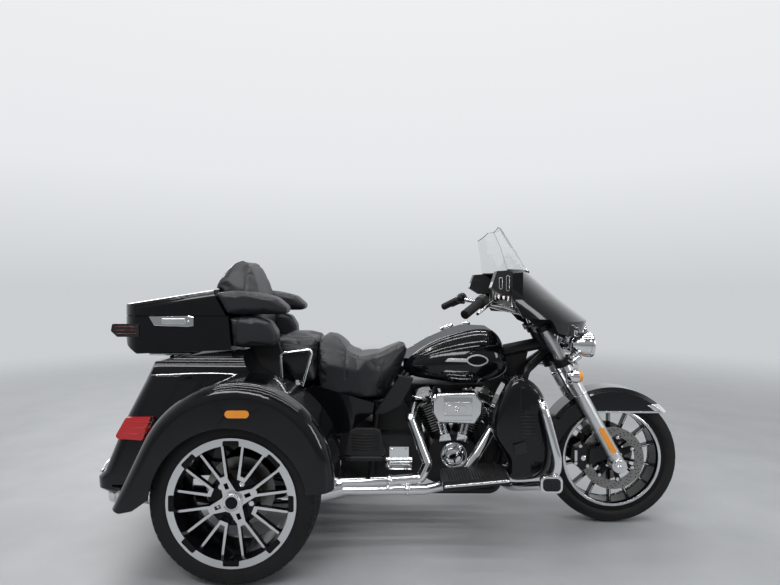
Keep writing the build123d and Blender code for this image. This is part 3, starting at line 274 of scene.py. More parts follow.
def lathe(profile, centre, axis, segments=48):
    """Vertices and faces of a turned shape. The profile is (distance along the axis, radius) pairs."""
    a, u, w = basis(axis)
    c = Vector(centre)
    verts = []
    for along, r in profile:
        for k in range(segments):
            t = 2 * math.pi * k / segments
            verts.append(c + a * along + (u * math.cos(t) + w * math.sin(t)) * r)
    return verts, tube_faces(len(profile), segments)


def turned(name, profile, centre, axis, mat, body, segments=48, bevel=0.0008):
    v, f = lathe(profile, centre, axis, segments)
    return soften(make(name, v, f, mat, body), bevel, 2, 30)


def hoop(section, centre, axis, segments=64):
    """A ring turned from a closed section of (distance along the axis, radius) pairs."""
    a, u, w = basis(axis)
    verts, faces, n = [], [], len(section)
    for k in range(segments):
        t = 2 * math.pi * k / segments
        out = u * math.cos(t) + w * math.sin(t)
        j = (k + 1) % segments
        for i, (along, r) in enumerate(section):
            verts.append(Vector(centre) + a * along + out * r)
            faces.append((k * n + i, k * n + (i + 1) % n, j * n + (i + 1) % n, j * n + i))
    return verts, faces


def bends(points, reach, steps=8):
    """A path of straight runs with rounded corners."""
    p = [Vector(q) for q in points]
    out = [p[0]]
    for before, at, after in zip(p, p[1:], p[2:]):
        a = at + (before - at).normalized() * min(reach, (before - at).length * 0.48)
        b = at + (after - at).normalized() * min(reach, (after - at).length * 0.48)
        for k in range(steps + 1):
            t = k / steps
            out.append(a * (1 - t) ** 2 + at * 2 * t * (1 - t) + b * t * t)
    return out + [p[-1]]


def join_parts(parts):
    """One vertex and face list from several."""
    verts, faces = [], []
    for v, f in parts:
        at = len(verts)
        verts.extend(v)
        faces.extend(tuple(i + at for i in face) for face in f)
    return verts, faces


def prism(outline, near, far):
    """A plate from an outline of (x, z) points between two y values."""
    verts = [(x, near, z) for x, z in outline] + [(x, far, z) for x, z in outline]
    return verts, slab_faces(len(outline))


def block(low, high):
    """A box between two corners."""
    (x0, y0, z0), (x1, y1, z1) = low, high
    return prism([(x0, z0), (x1, z0), (x1, z1), (x0, z1)], y0, y1)


def curve_points(points, steps=12):
    """A smooth path through a few points."""
    p = [Vector(q) for q in points]
    p = [2 * p[0] - p[1]] + p + [2 * p[-1] - p[-2]]
    out = []
    for i in range(1, len(p) - 2):
        for s in range(steps):
            t = s / steps
            a = 2 * p[i]
            b = (p[i + 1] - p[i - 1]) * t
            c = (2 * p[i - 1] - 5 * p[i] + 4 * p[i + 1] - p[i + 2]) * t * t
            d = (3 * p[i] - p[i - 1] - 3 * p[i + 1] + p[i + 2]) * t * t * t
            out.append((a + b + c + d) / 2)
    out.append(p[-2])
    return out


def pipe(points, radius, segments=10, smooth_path=True):
    """A round bar along a path."""
    path = curve_points(points) if smooth_path else [Vector(q) for q in points]
    verts = []
    up = Vector((0, 0, 1))
    for i, q in enumerate(path):
        t = (path[min(i + 1, len(path) - 1)] - path[max(i - 1, 0)]).normalized()
        if abs(t.dot(up)) > 0.95:
            up = Vector((1, 0, 0))
        u = up.cross(t).normalized()
        w = t.cross(u)
        up = w
        for k in range(segments):
            s = 2 * math.pi * k / segments
            verts.append(q + (u * math.cos(s) + w * math.sin(s)) * radius)
    return verts, tube_faces(len(path), segments)


def bolt(centre, axis, r=0.006, tall=0.004, sides=6):
    """A screw head on a washer."""
    washer = lathe([(0, r * 1.35), (tall * 0.25, r * 1.35)], centre, axis, 16)
    head = lathe([(tall * 0.25, r), (tall * 0.9, r), (tall, r * 0.82)], centre, axis, sides)
    return join_parts([washer, head])


def piece(name, parts, mat, body="chassis", smooth=True, edge=0.0, segments=2):
    """One object of several shapes, with its sharp edges rounded by edge."""
    ob = make(name, *join_parts(parts), mat, body, smooth)
    return soften(ob, edge, segments) if edge else ob


def wheel_point(hub, y, r, turn):
    """A point on a wheel at a radius and an angle in degrees, counted from forward to up."""
    a = math.radians(turn)
    return (hub[0] + r * math.cos(a), y, hub[1] + r * math.sin(a))


front_low, front_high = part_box("front_tyre")
rear_low, rear_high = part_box("rear_tyre_right")
front_hub = ((front_low.x + front_high.x) / 2, (front_low.z + front_high.z) / 2)
rear_hub = ((rear_low.x + rear_high.x) / 2, (rear_low.z + rear_high.z) / 2)
front_r = (front_high.z - front_low.z) / 2
rear_r = (rear_high.z - rear_low.z) / 2
front_half = (front_high.y - front_low.y) / 2
rear_half = (rear_high.y - rear_low.y) / 2
rear_mid = -(rear_low.y + rear_high.y) / 2


def tree_of(me):
    """Search tree over a mesh's surface."""
    return BVHTree.FromPolygons([v.co.copy() for v in me.vertices], [tuple(p.vertices) for p in me.polygons])


skins = {}


def plate_on(node, outline, side, lift, sink=0.0015):
    """Thin plate that lies on a node's side: outline in X and Z, proud of the surface by lift."""
    if node not in skins:
        skins[node] = tree_of(nodes[node].data)
    n = len(outline)
    mid = (sum(p[0] for p in outline) / n, sum(p[1] for p in outline) / n)
    spots = [(mid[0] + (x - mid[0]) * t, mid[1] + (z - mid[1]) * t)
        for t in (1.0, 0.75, 0.5, 0.25) for x, z in outline] + [mid]
    verts = []
    for x, z in spots:
        hit = skins[node].ray_cast(Vector((x, side * 1.5, z)), Vector((0, -side, 0)))[0]
        verts.append((x, (hit.y if hit else side * 0.1) + side * lift, z))
    low = [(x, y - side * (lift + sink), z) for x, y, z in verts[:n]]
    faces = []
    for i in range(n):
        k = (i + 1) % n
        for r in (0, n, 2 * n):
            faces.append((r + i, r + k, r + n + k, r + n + i))
        faces.append((3 * n + i, 3 * n + k, 4 * n))
        faces.append((i, 4 * n + 1 + i, 4 * n + 1 + k, k))
    return verts + low, faces


# Tyres. Radii where a tyre's bead and lip sit, half width of its rim
front_seat = (0.2413, 0.256, 0.05)
rear_seat = (0.2286, 0.248, 0.098)


def tyre(tag, hub, mid_y, tread_r, half, seat, groove, around=540):
    """A tyre with its tread cut in; the section follows the solid that it stands for."""
    end, _, hand = tag.partition("_")
    hand = "_" + hand if hand else ""
    bead, lip, rim_half = seat
    shoulder_r = tread_r - 0.02
    section = []
    wall = 14
    for i in range(wall + 1):
        t = i / wall
        r = lip + (shoulder_r - lip) * t
        bulge = math.sin(math.pi * min(1.0, t * 0.95 + 0.05))
        y = rim_half + (half - 0.009 - rim_half) * t + (half - rim_half) * 0.62 * bulge * (1 - 0.35 * t)
        section.append((min(y, half), r, 0.0))
    crown = 40
    edge = section[-1][0]
    for i in range(1, crown):
        t = i / crown
        y = edge * math.cos(math.pi * t)
        r = shoulder_r + (tread_r - shoulder_r) * math.sin(math.pi * t) ** 0.8
        section.append((y, r, 1.0))
    for y, r, k in reversed(section[: wall + 1]):
        section.append((-y, r, k))
    rows = len(section)
    verts = []
    for k in range(around):
        a = 2 * math.pi * k / around
        for y, r, tread in section:
            deep = groove(k / around, y / half) if tread else 0.0
            for ring in (0.22, 0.5, 0.78):
                if not tread and abs((r - lip) / (shoulder_r - lip) - ring) < 0.035:
                    deep = -0.0006
            rr = min(r - deep, tread_r)
            verts.append((hub[0] + rr * math.cos(a), mid_y + y, hub[1] + rr * math.sin(a)))
    faces = []
    for k in range(around):
        j = (k + 1) % around
        for i in range(rows - 1):
            faces.append((k * rows + i, k * rows + i + 1, j * rows + i + 1, j * rows + i))
    start = len(verts)
    for k in range(around):
        a = 2 * math.pi * k / around
        for y in (-rim_half, rim_half):
            verts.append((hub[0] + bead * math.cos(a), mid_y + y, hub[1] + bead * math.sin(a)))
    for k in range(around):
        j = (k + 1) % around
        lo, hi = start + 2 * k, start + 2 * k + 1
        lo2, hi2 = start + 2 * j, start + 2 * j + 1
        faces.append((k * rows + rows - 1, lo, lo2, j * rows + rows - 1))
        faces.append((lo, hi, hi2, lo2))
        faces.append((hi, k * rows, j * rows, hi2))
    ob = make(end + "_tyre_dressed" + hand, verts, faces, tyre_rubber, end + "_wheel_set" + hand)
    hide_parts(end + "_tyre" + hand)


def saw(t, width):
    """1 inside a groove of a width, in turns of a repeating pattern, else 0."""
    t = t - math.floor(t)
    return 1.0 if min(t, 1 - t) < width / 2 else 0.0


def front_groove(turn, side):
    """Swept grooves of a road tyre on its rounded tread."""
    s = abs(side)
    if s > 0.93:
        return 0.0
    cut = saw(turn * 34 + 0.9 * side + 0.25 * math.sin(4 * side), 0.09) if 0.12 < s < 0.8 else 0.0
    ring = 1.0 if abs(s - 0.05) < 0.02 else 0.0
    return 0.003 * max(cut, ring)


def rear_groove(turn, side):
    """Four rings and the cross cuts of a car-like tyre."""
    cuts_round = 62
    s = abs(side)
    ring = 1.0 if min(abs(s - 0.16), abs(s - 0.52)) < 0.032 else 0.0
    cut = 0.0
    if s > 0.56:
        cut = saw(turn * cuts_round + 1.2 * side, 0.16)
    elif 0.2 < s < 0.48:
        cut = saw(turn * cuts_round - 2.0 * side, 0.14)
    return 0.007 * max(ring, cut)


tyre("front", front_hub, 0.0, front_r, front_half, front_seat, front_groove)
for tag, side in (("right", -1), ("left", 1)):
    tyre("rear_" + tag, rear_hub, side * rear_mid, rear_r, rear_half, rear_seat, rear_groove)


# Wheels
def paint_faces(node, mats, pick):
    """Gives each face of a CAD node one of several finishes."""
    me = nodes[node].data
    for m in mats:
        me.materials.append(m)
    for p in me.polygons:
        k = pick(p.center, p.normal)
        if k:
            p.material_index = k


# Wall of a rear wheel's lip, and where the wheel's outer face lies
lip_wall = 0.007
rear_face_y = rear_mid + rear_seat[2] + lip_wall


def rear_pick(side):
    def pick(c, n):
        out = side * c.y
        r = math.hypot(c.x - rear_hub[0], c.z - rear_hub[1])
        flat = side * n.y > 0.9
        if flat and out > rear_face_y - 0.002 and r > 0.214:
            return 1
        if flat and rear_face_y - 0.026 < out < rear_face_y - 0.018 and r > 0.03:
            return 1
        if out > rear_face_y - 0.02 and r < 0.045:
            return 2
        if r < 0.05 and out > rear_face_y - 0.04:
            return 2
        if r < 0.085 and side * n.y > -0.5 and rear_face_y - 0.044 < out < rear_face_y - 0.032:
            return 2
        if out < rear_face_y - 0.11 and 0.06 < r < 0.17:
            return 3
        return 0
    return pick


for tag, side in (("right", -1), ("left", 1)):
    paint_faces("rear_wheel_" + tag, [machined, chrome, disc_steel], rear_pick(side))
    cap_y = side * (rear_face_y - 0.022 + 0.014)
    cap = lathe([(0, 0.034), (0.003, 0.0335), (0.0035, 0.03), (0.0015, 0.0285), (0.0012, 0.024)],
        (rear_hub[0], cap_y, rear_hub[1]), (0, side, 0), 48)
    make("rear_cap_ring_" + tag, *cap, chrome, "rear_wheel_set_" + tag)
    turned("rear_cap_disc_" + tag, [(0.0012, 0.024), (0.0022, 0.0232), (0.0026, 0.012), (0.0027, 0.001)],
        (rear_hub[0], cap_y, rear_hub[1]), (0, side, 0), wheel_black, "rear_wheel_set_" + tag, 40)
    valve = pipe([wheel_point(rear_hub, side * (rear_face_y - 0.03), 0.214, 270),
        wheel_point(rear_hub, side * (rear_face_y - 0.006), 0.206, 270)], 0.004)
    make("rear_valve_" + tag, *valve, rubber, "rear_wheel_set_" + tag)
    lugs = [lathe([(0, 0.0105), (0.01, 0.0105), (0.013, 0.008)],
        wheel_point(rear_hub, side * (rear_face_y - 0.046), 0.07, 62 + 72 * k), (0, side, 0), 6) for k in range(5)]
    piece("rear_lug_nuts_" + tag, lugs, chrome, "rear_wheel_set_" + tag, False, 0.001)

# Bright ring and spoke edges of the front wheel
front_lip_y = 0.057
front_spokes = 7
rings = [hoop([(0.0, 0.2225), (0.0012, 0.2235), (0.0012, 0.2355), (0.0, 0.2365)],
    (front_hub[0], side * (front_lip_y + 0.0002), front_hub[1]), (0, side, 0), 120) for side in (-1, 1)]
piece("front_rim_ring", rings, machined, "front_wheel_set")
edges = []
for side in (-1, 1):
    for k in range(front_spokes):
        for lean in (-11.5, 11.5):
            turn = 232 + 360 / front_spokes * k + lean
            root = Vector(wheel_point(front_hub, side * 0.0138, 0.168, turn))
            tip = Vector(wheel_point(front_hub, side * 0.0138, 0.224, turn))
            across = (tip - root).normalized().cross(Vector((0, 1, 0))) * 0.0019
            up = Vector((0, side * 0.0012, 0))
            q = [root - across, root + across, tip + across, tip - across]
            edges.append((q + [p + up for p in q], slab_faces(4)))
piece("front_spoke_edges", edges, machined, "front_wheel_set", False)

# Discs: drilled ring on a black spider with bright bolts
disc_low, disc_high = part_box("front_discs")
disc_y = disc_high.y
drill_columns = 36
disc_r = (disc_high.z - disc_low.z) / 2
bands, holes, arms, rivets = [], [], [], []
for side in (-1, 1):
    centre = (front_hub[0], side * (disc_y - 0.005), front_hub[1])
    bands.append(hoop([(0.0, disc_r - 0.044), (0.005, disc_r - 0.044), (0.005, disc_r - 0.0006), (0.0046, disc_r),
        (0.0004, disc_r), (0.0, disc_r - 0.0006)], centre, (0, side, 0), 120))
    arms.append(hoop([(0.0006, 0.024), (0.005, 0.024), (0.005, 0.055), (0.0006, 0.055)], centre, (0, side, 0), 64))
    for k in range(drill_columns):
        for ring, off in enumerate((0.036, 0.026, 0.016, 0.008)):
            if (k + ring) % 3:
                holes.append(lathe([(0, 0.003), (0.0003, 0.003)],
                    wheel_point(front_hub, side * disc_y, disc_r - off, 360 / drill_columns * k + 3.4 * ring),
                    (0, side, 0), 10))
    for k in range(front_spokes):
        turn = 25.7 + 360 / front_spokes * k
        foot = ((0.05, 13.0), (0.1, 5.6), (disc_r - 0.038, 6.6))
        outline = [wheel_point(front_hub, 0, r, turn - w) for r, w in foot]
        outline += [wheel_point(front_hub, 0, r, turn + w) for r, w in reversed(foot)]
        arms.append(prism([(q[0], q[2]) for q in outline], side * (disc_y - 0.0044), side * (disc_y + 0.001)))
        rivets.append(bolt(wheel_point(front_hub, side * (disc_y + 0.001), disc_r - 0.047, turn), (0, side, 0), 0.0062,
            0.004, 16))
        rivets.append(bolt(wheel_point(front_hub, side * (disc_y - 0.0002), 0.042, turn), (0, side, 0), 0.0052, 0.005))
ring = piece("disc_bands", bands, disc_steel, "front_wheel_set", False)
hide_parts("front_discs")
piece("disc_drillings", holes, rubber, "front_wheel_set", False)
piece("disc_spiders", arms, wheel_black, "front_wheel_set", False, 0.0008)
piece("disc_bolts", rivets, chrome, "front_wheel_set", False)


# Cushions
def swap_mesh(ob):
    """Works the object's modifiers into its mesh."""
    me = bpy.data.meshes.new_from_object(ob.evaluated_get(bpy.context.evaluated_depsgraph_get()))
    ob.modifiers.clear()
    ob.data = me


def coords(me, key="co"):
    """The vertices' places or normals as an array."""
    a = np.empty(len(me.vertices) * 3)
    me.vertices.foreach_get(key, a)
    return a.reshape(-1, 3)


def loose_solid(node, pick):
    """Copy of those loose solids of a CAD node whose middle passes a test, as a new mesh."""
    bm = bmesh.new()
    bm.from_mesh(nodes[node].data)
    bmesh.ops.remove_doubles(bm, verts=bm.verts, dist=1e-5)
    left = set(bm.verts)
    drop = []
    while left:
        seed = left.pop()
        group, todo = {seed}, [seed]
        while todo:
            for e in todo.pop().link_edges:
                for q in e.verts:
                    if q not in group:
                        group.add(q)
                        todo.append(q)
        left -= group
        mid = sum((q.co for q in group), Vector()) / len(group)
        if not pick(mid):
            drop.extend(group)
    bmesh.ops.delete(bm, geom=drop, context="VERTS")
    me = bpy.data.meshes.new(node + "_copy")
    bm.to_mesh(me)
    bm.free()
    return me


# Frames that a cushion is blown up for, and how far it stays inside its solid's box
puff_frames = 16
skin = 0.0005


def cushion(name, node, body, pick=lambda mid: True, inset=0.007, travel=0.012, soft=10, voxel=0.0065, seams=(),
        mat=None):
    """A stuffed form of a soft CAD solid: drawn in, rounded, blown up as cloth, then pulled in along its seams."""
    me = loose_solid(node, pick)
    v = coords(me)
    low, high = v.min(axis=0), v.max(axis=0)
    mid = (low + high) / 2
    v = mid + (v - mid) * (1 - 2 * inset / (high - low))
    me.vertices.foreach_set("co", v.ravel())
    ob = bpy.data.objects.new(name, me)
    bpy.context.scene.collection.objects.link(ob)
    rm = ob.modifiers.new("remesh", "REMESH")
    rm.mode = "VOXEL"
    rm.voxel_size = voxel
    sm = ob.modifiers.new("smooth", "SMOOTH")
    sm.factor = 0.5
    sm.iterations = soft
    swap_mesh(ob)
    start = coords(ob.data)
    cl = ob.modifiers.new("cloth", "CLOTH")
    st = cl.settings
    st.quality = 5
    st.mass = 0.25
    st.tension_stiffness = 18
    st.compression_stiffness = 18
    st.shear_stiffness = 8
    st.bending_stiffness = 1.2
    st.use_pressure = True
    st.uniform_pressure_force = 4.0
    st.effector_weights.gravity = 0.0
    cl.point_cache.frame_start = 1
    cl.point_cache.frame_end = puff_frames
    for k in range(1, puff_frames + 1):
        bpy.context.scene.frame_set(k)
    swap_mesh(ob)
    bpy.context.scene.frame_set(1)
    v = coords(ob.data)
    move = v - start
    far = np.linalg.norm(move, axis=1, keepdims=True)
    v = start + move * np.minimum(1.0, travel / np.maximum(far, 1e-9))
    v = np.minimum(np.maximum(v, low + skin), high - skin)
    ob.data.vertices.foreach_set("co", v.ravel())
    ob.data.update()
    n = coords(ob.data, "normal")
    for distance, width, deep in seams:
        d = distance(v)
        v = v - n * (deep * np.exp(-((d / width) ** 2)))[:, None]
    ob.data.vertices.foreach_set("co", v.ravel())
    ob.data.update()
    ob.data.materials.clear()
    ob.data.materials.append(mat or leather)
    ob.data.polygons.foreach_set("use_smooth", [True] * len(ob.data.polygons))
    sub = ob.modifiers.new("finer", "SUBSURF")
    sub.levels = sub.render_levels = 1
    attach(ob, body)
    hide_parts(node)
    return ob


def along(k, at, keep=None):
    """Distance from a plane square to an axis, far away where keep is false."""
    def f(v):
        d = np.abs(v[:, k] - at)
        return d if keep is None else np.where(keep(v), d, 1.0)
    return f


def both_sides(at, keep=None):
    """Distance from the two planes at a distance left and right of the middle."""
    def f(v):
        d = np.abs(np.abs(v[:, 1]) - at)
        return d if keep is None else np.where(keep(v), d, 1.0)
    return f


cushion(
    "rider_cushion",
    "rider_seat",
    "chassis",
    seams=[
        (both_sides(0.15, lambda v: (v[:, 2] > 0.7) & (v[:, 0] < -0.1)), 0.004, 0.0035),
        (along(0, -0.262, lambda v: v[:, 2] > 0.72), 0.004, 0.004),
    ],
)
cushion(
    "passenger_cushion",
    "passenger_seat",
    "chassis",
    seams=[
        (both_sides(0.142, lambda v: v[:, 2] > 0.86), 0.004, 0.0035),
        (along(2, 0.868), 0.0035, 0.003),
    ],
)
cushion(
    "back_cushion",
    "backrest",
    "case_lid",
    pick=lambda mid: abs(mid.y) < 0.1,
    mat=back_hide,
    soft=16,
    travel=0.006,
    inset=0.004,
    seams=[(along(0, -0.728, lambda v: v[:, 2] > 1.0), 0.0035, 0.004)],
)
for tag, side in (("right", -1), ("left", 1)):
    cushion(
        "arm_cushion_" + tag,
        "backrest",
        "case_lid",
        pick=lambda mid, side=side: mid.y * side > 0.1,
        soft=8,
        inset=0.003,
        seams=[(along(1, side * 0.24, lambda v: v[:, 2] > 1.1), 0.0035, 0.002)],
    )
    cushion(
        "pod_pad_" + tag,
        "arm_pods",
        "chassis",
        pick=lambda mid, side=side: mid.y * side > 0.1,
        soft=5,
        inset=0.002,
        travel=0.004,
        seams=[(along(1, side * 0.292, lambda v: v[:, 0] > -0.9), 0.003, 0.0015)],
    )


# Lamps
smoked = finish_mat("smoked_lens", (0.012, 0.01, 0.011), 0.12, 0.0, 300.0, 0.2, 0.1, 0.0002, 0.2, 1.0, 0.03)
reflector = finish_mat("lamp_reflector", (0.9, 0.9, 0.91), 0.12, 1.0, 90.0, 0.3, 0.04, 0.0004, 0.4)


def lamp(tag, centre, axis, r, deep, body, shell_mat, replaced=None):
    """A round lamp: bucket, bright rim, bowl, bulb and a ribbed clear lens."""
    bucket = [(-deep, r * 0.3), (-deep * 0.96, r * 0.52), (-deep * 0.7, r * 0.8), (-deep * 0.35, r * 0.94),
        (-0.012, r * 0.97), (-0.012, r), (0.0, r), (0.004, r * 0.975), (0.004, r * 0.9), (-0.004, r * 0.89),
        (-deep * 0.3, r * 0.72), (-deep * 0.5, r * 0.4), (-deep * 0.55, 0.004)]
    v, f = lathe(bucket, centre, axis, 72)
    shell = soften(make(tag + "_bucket", v, f, shell_mat, body), 0.0008)
    bowl = [(-0.0035, r * 0.885), (-deep * 0.28, r * 0.7), (-deep * 0.47, r * 0.39), (-deep * 0.52, r * 0.16),
        (-deep * 0.52, 0.001)]
    make(tag + "_bowl", *lathe(bowl, centre, axis, 72), reflector, body)
    turned(tag + "_bulb", [(-deep * 0.5, r * 0.14), (-deep * 0.3, r * 0.14), (-deep * 0.22, r * 0.1),
        (-deep * 0.2, 0.001)], centre, axis, lamp_clear, body, 24)
    glass = []
    for i in range(9):
        t = i / 8
        glass.append((0.003 * (1 - t * t) + 0.0015 + 0.003 * (1 - t) ** 0.5, max(0.001, r * 0.895 * t)))
    glass = glass[::-1]
    make(tag + "_lens", *lathe(glass, centre, axis, 72), lamp_clear, body)
    a, u, w = basis(axis)
    ribs = []
    for k in range(-5, 6):
        off = k * r * 0.15
        half = math.sqrt(max(0.0, (r * 0.86) ** 2 - off * off))
        c = Vector(centre) + a * 0.002
        ribs.append(pipe([c + u * off - w * half, c + u * off + w * half], 0.0012, 6, False))
    make(tag + "_lens_ribs", *join_parts(ribs), lamp_clear, body)
    if replaced:
        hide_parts(replaced)
    return shell


head_low, head_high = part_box("headlamp")
head_r = (head_high.y - head_low.y) / 2
head_mid = ((head_low.y + head_high.y) / 2, (head_low.z + head_high.z) / 2)
lamp("headlamp", (head_high.x - 0.0065, head_mid[0], head_mid[1]), ahead_dir, head_r, head_high.x - head_low.x - 0.006,
    "steering", chrome, "headlamp")

spot_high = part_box("passing_lamps")[1]
spot_y = 0.205
spot_z = 0.883
spot_r = 0.059
signal_y = 0.262
bar_x, bar_z = 0.772, 0.8
for tag, side in (("right", -1), ("left", 1)):
    lamp("passing_lamp_" + tag, (spot_high.x - 0.0075, side * spot_y, spot_z), ahead_dir, spot_r, 0.092, "steering",
        chrome, "passing_lamps" if side < 0 else None)
    signal_at = (0.768, side * signal_y, 0.746)
    turned(
        "signal_body_" + tag,
        [(-0.036, 0.004), (-0.034, 0.014), (-0.022, 0.025), (0.0, 0.0295), (0.012, 0.03), (0.014, 0.028)],
        signal_at,
        ahead_dir,
        chrome,
        "steering",
    )
    turned("signal_lens_" + tag, [(0.012, 0.0275), (0.024, 0.0265), (0.031, 0.02), (0.034, 0.01), (0.0345, 0.001)],
        signal_at, ahead_dir, amber, "steering")
bar_parts = [
    pipe([(bar_x, y, bar_z - drop) for y, drop in ((-0.272, 0.01), (-0.235, 0.0015), (-0.2, 0), (0, 0), (0.2, 0),
        (0.235, 0.0015), (0.272, 0.01))], 0.0138, 20),
    pipe([(0.74, 0, 0.775), (0.775, 0, bar_z)], 0.021, 20, False),
]
for side in (-1, 1):
    bar_parts.append(pipe([(0.812, side * spot_y, spot_z - 0.052), (0.8, side * spot_y, 0.822),
        (0.774, side * spot_y, 0.802)], 0.012, 16))
    bar_parts.append(pipe([(bar_x, side * signal_y, 0.794), (0.77, side * signal_y, 0.77)], 0.009, 16, False))
    bar_parts.append(lathe([(-0.006, 0.015), (0.006, 0.015)], (bar_x, side * spot_y, 0.826), (0, 0, 1), 20))
piece("lamp_bar", bar_parts, chrome, "steering", True, 0.001)

# Side covers are gloss under the seat and grained ahead of it
me = nodes["side_covers"].data
me.materials.append(paint)
for p in me.polygons:
    if p.center.x < -0.1:
        p.material_index = 1

# Tail lamps: red at the back, clear ahead, smoked on the luggage case
me = nodes["tail_lamps"].data
for m in (lamp_clear, smoked, amber):
    me.materials.append(m)
for p in me.polygons:
    c = p.center
    if abs(c.y) > 0.66:
        p.material_index = 3
    elif c.z > 0.85:
        p.material_index = 2
    elif c.x > -1.055:
        p.material_index = 1
lamp_strips = [
    pipe([(-1.15 + 0.02 * k, side * 0.5022, 0.548 + 0.024 * k),
        (-1.045 + 0.012 * k, side * 0.5022, 0.548 + 0.024 * k)], 0.0016, 8, False)
    for side in (-1, 1) for k in range(3)
]
piece("tail_lamp_ribs", lamp_strips, red_lens)
lens_bars = []
for side in (-1, 1):
    for z in (0.938, 0.9535, 0.969):
        lens_bars.append(pipe(bends([(-1.176, side * 0.3032, z), (-1.276 + 0.2 * abs(z - 0.957), side * 0.3032, z),
            (-1.2885 + 0.3 * abs(z - 0.964), side * 0.292, z), (-1.2885 + 0.3 * abs(z - 0.964), side * 0.215, z)],
            0.01), 0.0016, 8, False))
piece("case_lamp_bars", lens_bars, deep_red)

# Front fender trim
trim_parts = [prism([(0.908, 0.5405), (1.236, 0.5405), (1.233, 0.551), (0.914, 0.551)], side * 0.078, side * 0.0843)
    for side in (-1, 1)]
piece("fender_trim", trim_parts, chrome, "steering", False, 0.002, 3)
# Bright nose wrapped round the fender's front end
nose_half = 0.0812
section = [(-nose_half, 0.302), (-nose_half, 0.3225), (-0.059, 0.343), (0.059, 0.343), (nose_half, 0.3225),
    (nose_half, 0.302), (nose_half - 0.004, 0.302), (nose_half - 0.004, 0.321), (0.057, 0.3385), (-0.057, 0.3385),
    (-nose_half + 0.004, 0.321), (-nose_half + 0.004, 0.302)]
verts, faces, n = [], [], len(section)
for k in range(9):
    for y, r in section:
        a = math.asin(min(1.0, (0.5402 - front_hub[1]) / r)) + math.radians(11.5 - 2.0 * (abs(y) < 0.06)) * k / 8
        verts.append((front_hub[0] + r * math.cos(a), y, front_hub[1] + r * math.sin(a)))
for k in range(8):
    faces += [(k * n + i, k * n + (i + 1) % n, (k + 1) * n + (i + 1) % n, (k + 1) * n + i) for i in range(n)]
faces += [tuple(range(n)), tuple(range(9 * n - 1, 8 * n - 1, -1))]
soften(make("fender_nose", verts, faces, chrome, "steering"), 0.0015, 2)
fender_bolts = [bolt((x, side * 0.0865, z), (0, side, 0), 0.006)
    for side in (-1, 1) for x, z in ((0.872, 0.572), (0.892, 0.592))]
piece("fender_bolts", fender_bolts, chrome, "steering", False)

# Forks: chrome covers, reflectors, axle caps and brake pipes
fork_y = 0.125
fork_slope = 0.5485


def fork_at(z, side, out=0.0):
    """Point on a fork leg's middle line, moved sideways by out."""
    return (front_hub[0] - fork_slope * (z - front_hub[1]), side * (fork_y + out), z)


fork_dir = Vector((-fork_slope, 0, 1)).normalized()
collars, reflectors, brake_bits, caps = [], [], [], []
for side in (-1, 1):
    for z, r, tall in ((0.7, 0.0335, 0.018), (0.64, 0.0312, 0.004), (0.36, 0.0312, 0.005)):
        collars.append(lathe([(0, r - 0.001), (0.001, r), (tall - 0.001, r), (tall, r - 0.001)], fork_at(z, side),
            fork_dir, 40))
    caps.append(lathe([(0, 0.021), (0.005, 0.0205), (0.007, 0.017), (0.0075, 0.012), (0.0055, 0.0115),
        (0.0055, 0.001)], (front_hub[0] - 0.008, side * (fork_y + 0.0335), front_hub[1] + 0.002), (0, side, 0), 40))
    base = Vector(fork_at(0.428, side, 0.0302))
    up = fork_dir
    fwd = Vector((up.z, 0, -up.x))
    plate = [base + up * s * 0.066 + fwd * t * 0.013
        for s, t in ((-1, -0.6), (-0.94, -1), (0.94, -1), (1, -0.6), (1, 0.6), (0.94, 1), (-0.94, 1), (-1, 0.6))]
    lift = Vector((0, side * 0.0045, 0))
    reflectors.append((plate + [q + lift for q in plate], slab_faces(len(plate))))
    brake_bits.append(pipe([fork_at(0.8, side, -0.028), fork_at(0.66, side, -0.036), fork_at(0.52, side, -0.034),
        (0.868, side * 0.078, 0.43), (0.862, side * 0.072, 0.394)], 0.0032, 8))
piece("fork_collars", collars, chrome, "steering")
piece("axle_caps", caps, chrome, "steering")
piece("fork_reflectors", reflectors, amber, "steering", False, 0.0012)
piece("brake_pipes", brake_bits, rubber, "steering")
caliper_bits, caliper_dots = [], []
for side in (-1, 1):
    y = side * 0.0982
    caliper_bits.append(prism([(0.822, 0.316), (0.822, 0.366), (0.834, 0.366), (0.834, 0.316)], y, y + side * 0.004))
    for x, z in ((0.85, 0.386), (0.884, 0.292), (0.828, 0.304)):
        caliper_dots.append(bolt((x, y, z), (0, side, 0), 0.006))
    caliper_dots.append(lathe([(0, 0.013), (0.004, 0.0125), (0.005, 0.01)], (0.864, y, 0.33), (0, side, 0), 32))
piece("caliper_bars", caliper_bits, satin_alloy, "steering", False)
piece("caliper_bolts", caliper_dots, chrome, "steering", False)

